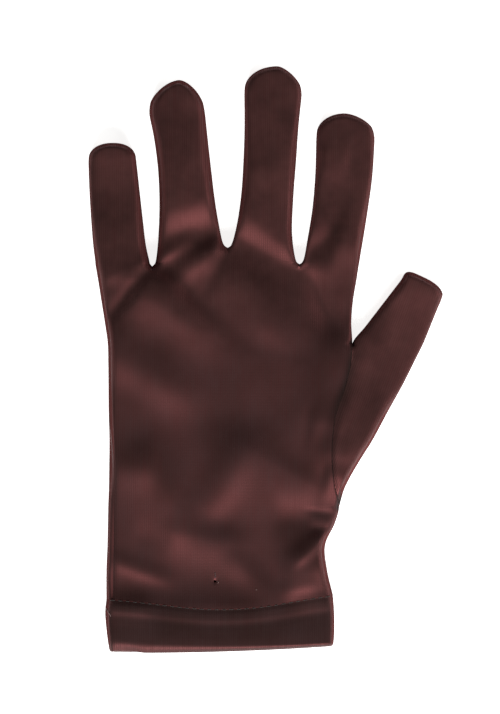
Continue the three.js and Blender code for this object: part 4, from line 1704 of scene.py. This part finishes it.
@dataclass(frozen=True)
class HemStitches:
    """The row of lockstitches through the back of the hem, along its upper edge."""

    pitch: float = 2.9
    length: float = 1.9
    radius: float = 0.12
    arch: float = 0.22
    below_line: float = 0.35
    # The shares of the way across where the row of stitches starts and ends, and its line's points
    ends: Plan = (0.03, 0.975)
    samples: int = 240
    # The least and the most that a stitch's length is of the one given
    uneven: Plan = (0.8, 1.1)
    seed: int = 7

    def path(self, drape: Drape) -> np.ndarray:
        """The line that the stitches follow.

        Args:
            drape: how high the cloth lies.

        Returns:
            One row of x, y and z for each point of the line, on the cloth.
        """
        across = np.linspace(*self.ends, self.samples)
        x = HEM_LEFT[0][0] + (HEM_RIGHT[0][0] - HEM_LEFT[0][0]) * across
        places = np.column_stack([x, hem_lines(across)[0] - self.below_line])
        return on_the_back(drape, places, np.zeros(len(places)))

    def tree(self) -> bpy.types.NodeTree:
        """The node group that sets one arched stitch at each pitch along a line."""
        tree = bpy.data.node_groups.new("hem stitches", "GeometryNodeTree")
        tree.interface.new_socket("Geometry", in_out="INPUT", socket_type="NodeSocketGeometry")
        for label in ("Pitch", "Length", "Radius", "Arch"):
            tree.interface.new_socket(label, in_out="INPUT", socket_type="NodeSocketFloat")
        tree.interface.new_socket("Seed", in_out="INPUT", socket_type="NodeSocketInt")
        tree.interface.new_socket("Thread", in_out="INPUT", socket_type="NodeSocketMaterial")
        tree.interface.new_socket("Geometry", in_out="OUTPUT", socket_type="NodeSocketGeometry")
        given = tree.nodes.new("NodeGroupInput").outputs
        line = add_node(tree, "GeometryNodeMeshToCurve", Mesh=given["Geometry"]).outputs["Curve"]
        places = add_node(
            tree, "GeometryNodeResampleCurve", {"mode": "LENGTH"}, Curve=line, Length=given["Pitch"]
        ).outputs["Curve"]
        half, back, under = (
            add_node(tree, "ShaderNodeMath", {"operation": "MULTIPLY"}, i0=given[label], i1=part).outputs[0]
            for label, part in (("Length", 0.5), ("Length", -0.5), ("Arch", -0.5))
        )
        start = add_node(tree, "ShaderNodeCombineXYZ", X=back, Z=under).outputs["Vector"]
        middle = add_node(tree, "ShaderNodeCombineXYZ", Z=given["Arch"]).outputs["Vector"]
        end = add_node(tree, "ShaderNodeCombineXYZ", X=half, Z=under).outputs["Vector"]
        arc = add_node(
            tree, "GeometryNodeCurveQuadraticBezier", Resolution=8, Start=start, Middle=middle, End=end
        ).outputs["Curve"]
        round_thread = add_node(
            tree, "GeometryNodeCurvePrimitiveCircle", Resolution=8, Radius=given["Radius"]
        ).outputs["Curve"]
        stitch = add_node(
            tree, "GeometryNodeCurveToMesh", Curve=arc, Profile_Curve=round_thread, Fill_Caps=True
        ).outputs["Mesh"]
        way = add_node(tree, "GeometryNodeInputTangent").outputs["Tangent"]
        turned = add_node(tree, "FunctionNodeAlignRotationToVector", {"axis": "X"}, Vector=way)
        uneven = add_node(
            tree,
            "FunctionNodeRandomValue",
            {"data_type": "FLOAT"},
            i2=self.uneven[0],
            i3=self.uneven[1],
            Seed=given["Seed"],
        ).outputs[1]
        scale = add_node(tree, "ShaderNodeCombineXYZ", X=uneven, Y=1.0, Z=1.0).outputs["Vector"]
        placed = add_node(
            tree,
            "GeometryNodeInstanceOnPoints",
            Points=places,
            Instance=stitch,
            Rotation=turned.outputs["Rotation"],
            Scale=scale,
        ).outputs["Instances"]
        real = add_node(tree, "GeometryNodeRealizeInstances", Geometry=placed).outputs["Geometry"]
        smooth = add_node(tree, "GeometryNodeSetShadeSmooth", Geometry=real).outputs["Geometry"]
        dressed = add_node(tree, "GeometryNodeSetMaterial", Geometry=smooth, Material=given["Thread"])
        add_node(tree, "NodeGroupOutput", Geometry=dressed.outputs["Geometry"])
        return tree

    def build(self, drape: Drape, material: bpy.types.Material) -> bpy.types.Object:
        """Makes the stitches as one plain mesh.

        Args:
            drape: how high the cloth lies.
            material: the thread's finish.

        Returns:
            The finished object.
        """
        points = self.path(drape) * MM
        mesh = bpy.data.meshes.new("hem_stitches")
        mesh.from_pydata(points.tolist(), [(i, i + 1) for i in range(len(points) - 1)], [])
        made = bpy.data.objects.new("hem_stitches", mesh)
        bpy.context.scene.collection.objects.link(made)
        tree = self.tree()
        modifier = made.modifiers.new("stitches", "NODES")
        modifier.node_group = tree
        inputs = (item for item in tree.interface.items_tree if item.in_out == "INPUT")
        sockets = {item.name: item.identifier for item in inputs}
        sizes = {"Pitch": self.pitch, "Length": self.length, "Radius": self.radius, "Arch": self.arch}
        for label, size in sizes.items():
            modifier[sockets[label]] = size * MM
        modifier[sockets["Seed"]] = self.seed
        modifier[sockets["Thread"]] = material
        evaluated = made.evaluated_get(bpy.context.evaluated_depsgraph_get())
        stitched = bpy.data.meshes.new_from_object(evaluated)
        made.modifiers.clear()
        made.data = stitched
        return made


@dataclass(frozen=True)
class LooseFibres:
    """Thread ends and fibres that lie on the cloth, as fine round tubes."""

    name: str
    # One path for each fibre, of x, y and height above the cloth
    paths: tuple[Table, ...]
    radius: float
    sides: int = 7
    # Rings for each point of a path
    steps: int = 6
    # How soon a fibre reaches its full radius from its ends, and the angle at which it starts
    taper: float = 2.0
    taper_start: float = 0.25

    def build(self, drape: Drape, material: bpy.types.Material) -> bpy.types.Object:
        """Makes the fibres as one mesh.

        Args:
            drape: how high the cloth lies.
            material: the yarn's finish.

        Returns:
            The finished object.
        """
        points, faces, count = [], [], 0
        for path in self.paths:
            curve = smooth_curve(path, np.linspace(0.0, 1.0, self.steps * len(path)))
            line = on_the_back(drape, curve[:, :2], curve[:, 2])
            ways = np.gradient(line, axis=0)
            ways /= np.linalg.norm(ways, axis=1)[:, None]
            across = np.cross(ways, (0.0, 0.0, 1.0))
            across /= np.linalg.norm(across, axis=1)[:, None]
            upwards = np.cross(across, ways)
            angles = 2 * math.pi * np.arange(self.sides) / self.sides
            onwards = np.linspace(self.taper_start, math.pi - self.taper_start, len(line))
            radii = self.radius * np.clip(np.sin(onwards) * self.taper, 0.0, 1.0)
            for k, centre in enumerate(line):
                ring = np.outer(np.cos(angles), across[k]) + np.outer(np.sin(angles), upwards[k])
                points.append(centre + radii[k] * ring)
            for k in range(len(line) - 1):
                low, high = count + k * self.sides, count + (k + 1) * self.sides
                for j in range(self.sides):
                    onward = (j + 1) % self.sides
                    faces.append((low + j, low + onward, high + onward, high + j))
            last = count + (len(line) - 1) * self.sides
            faces.append(tuple(range(count, count + self.sides))[::-1])
            faces.append(tuple(range(last, last + self.sides)))
            count += len(line) * self.sides
        return mesh_object(self.name, np.vstack(points), faces, material)


# Setting


@dataclass(frozen=True)
class Lamp:
    """A rectangular lamp turned to the glove, with its place and size in metres."""

    name: str
    place: tuple[float, float, float]
    size: tuple[float, float]
    watts: float

    def build(self) -> None:
        """Adds the lamp."""
        lamp = bpy.data.lights.new(self.name, "AREA")
        lamp.shape = "RECTANGLE"
        lamp.size, lamp.size_y = self.size
        lamp.energy = self.watts
        made = bpy.data.objects.new(self.name, lamp)
        made.location = self.place
        made.rotation_euler = (-Vector(self.place)).to_track_quat("-Z", "Y").to_euler()
        bpy.context.scene.collection.objects.link(made)


@dataclass(frozen=True)
class Studio:
    """A pale floor, one broad soft light from the wrist's side, a weak one from the right, and a sky."""

    # Half the floor's width, and the height that it lies at, in millimetres
    floor_half: float = 1500.0
    floor_z: float = -0.05
    lamps: tuple[Lamp, ...] = (
        Lamp("wrist_side", (0.06, -1.15, 0.85), (1.2, 0.7), 38.0),
        Lamp("right_side", (1.2, 0.1, 0.6), (0.6, 0.4), 5.0),
    )
    sky_strength: float = 0.12
    # The camera stands above this place, this far above the glove's middle height, in metres
    camera_over: tuple[float, float] = (-0.0061, 0.0006)
    camera_distance: float = 1.6
    middle_height: float = 0.008
    # The height of the view: 714 pixels of 0.4 mm
    view_height: float = 0.2856
    # The camera's sensor in millimetres, and how far it sees in metres
    sensor: float = 36.0
    far: float = 20.0

    def floor(self) -> None:
        """Adds the floor."""
        ways = ((-1, -1), (1, -1), (1, 1), (-1, 1))
        corners = np.array([[x * self.floor_half, y * self.floor_half, self.floor_z] for x, y in ways])
        mesh_object("floor", corners, [(0, 1, 2, 3)], OpalSheet().build())

    def sky(self) -> None:
        """Adds even light from all round."""
        world = bpy.data.worlds.new("studio")
        world.use_nodes = True
        background = world.node_tree.nodes["Background"]
        background.inputs["Color"].default_value = (1.0, 1.0, 1.0, 1.0)
        background.inputs["Strength"].default_value = self.sky_strength
        bpy.context.scene.world = world

    def camera(self) -> None:
        """Adds the camera, straight above."""
        lens = bpy.data.cameras.new("camera")
        lens.sensor_width = self.sensor
        lens.lens = self.sensor * self.camera_distance / self.view_height
        lens.clip_end = self.far
        made = bpy.data.objects.new("camera", lens)
        made.location = (*self.camera_over, self.camera_distance + self.middle_height)
        bpy.context.scene.collection.objects.link(made)
        bpy.context.scene.camera = made

    def build(self) -> None:
        """Sets up the whole setting."""
        self.floor()
        for lamp in self.lamps:
            lamp.build()
        self.sky()
        self.camera()
        bpy.context.scene.view_settings.view_transform = "Standard"


def declare(
    piece: bpy.types.Object, node: str
) -> None:
    """Attaches a piece of cloth to the root, and hides the solid that it stands for.

    Args:
        piece: the piece of cloth.
        node: the solid that it stands for.
    """
    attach(piece, "root")
    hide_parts(node)


def main() -> None:
    """Builds the glove and its setting in order."""
    logging.basicConfig(level=logging.INFO, format="%(message)s")
    drape = Drape()
    back_satin = StretchSatin("satin, back").build()
    palm_satin = StretchSatin("satin, palm").build()
    thumb_satin = StretchSatin("satin, thumb", grain_turn=20.0, redder_above=-20.0).build()
    # The hem's copy of the satin has a dimmer highlight tint, painted shade over the doubled band
    hem_satin_shaded = StretchSatin("satin, hem", shine="#b26464").build()
    back = Panel("back_cloth", Side.BACK, drape).build(back_satin)
    palm_panel = Panel("palm_cloth", Side.PALM, drape, pitch=1.8, edge_steps=11, middle_steps=8)
    palm = palm_panel.build(palm_satin)
    thumb = ThumbTube(drape).build(thumb_satin)
    hem = Hem(drape).build(hem_satin_shaded)
    declare(back, "back_panel")
    declare(palm, "palm_panel")
    declare(thumb, "thumb")
    declare(hem, "wrist_hem")
    stitches = HemStitches().build(drape, SewingThread("sewing thread", "#17130d").build())
    pulled = LooseFibres(
        "pulled_threads",
        (
            ((-18.9, -88.9, 0.1), (-18.7, -89.3, 0.25), (-18.9, -89.8, 0.1)),
            ((-63.7, -99.9, 0.2), (-62.9, -100.9, 0.35), (-61.6, -103.0, 0.12)),
            ((-3.8, -92.0, 0.1), (-3.5, -92.3, 0.2), (-3.2, -92.4, 0.1)),
        ),
        0.12,
    ).build(drape, SewingThread("frayed yarn, pale", "#5c4340").build())
    run = LooseFibres(
        "laddered_yarn", (((-20.1, -85.2, 0.0), (-20.0, -86.4, 0.05), (-20.0, -87.7, 0.0)),), 0.14
    ).build(drape, SewingThread("frayed yarn, dark", "#1c1312").build())
    for made in (stitches, pulled, run):
        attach(made, "root")
    for made in (back, palm, thumb, hem, stitches, pulled, run):
        log.info("%s: %d faces", made.name, len(made.data.polygons))
    Studio().build()


if __name__ == "__main__":
    main()
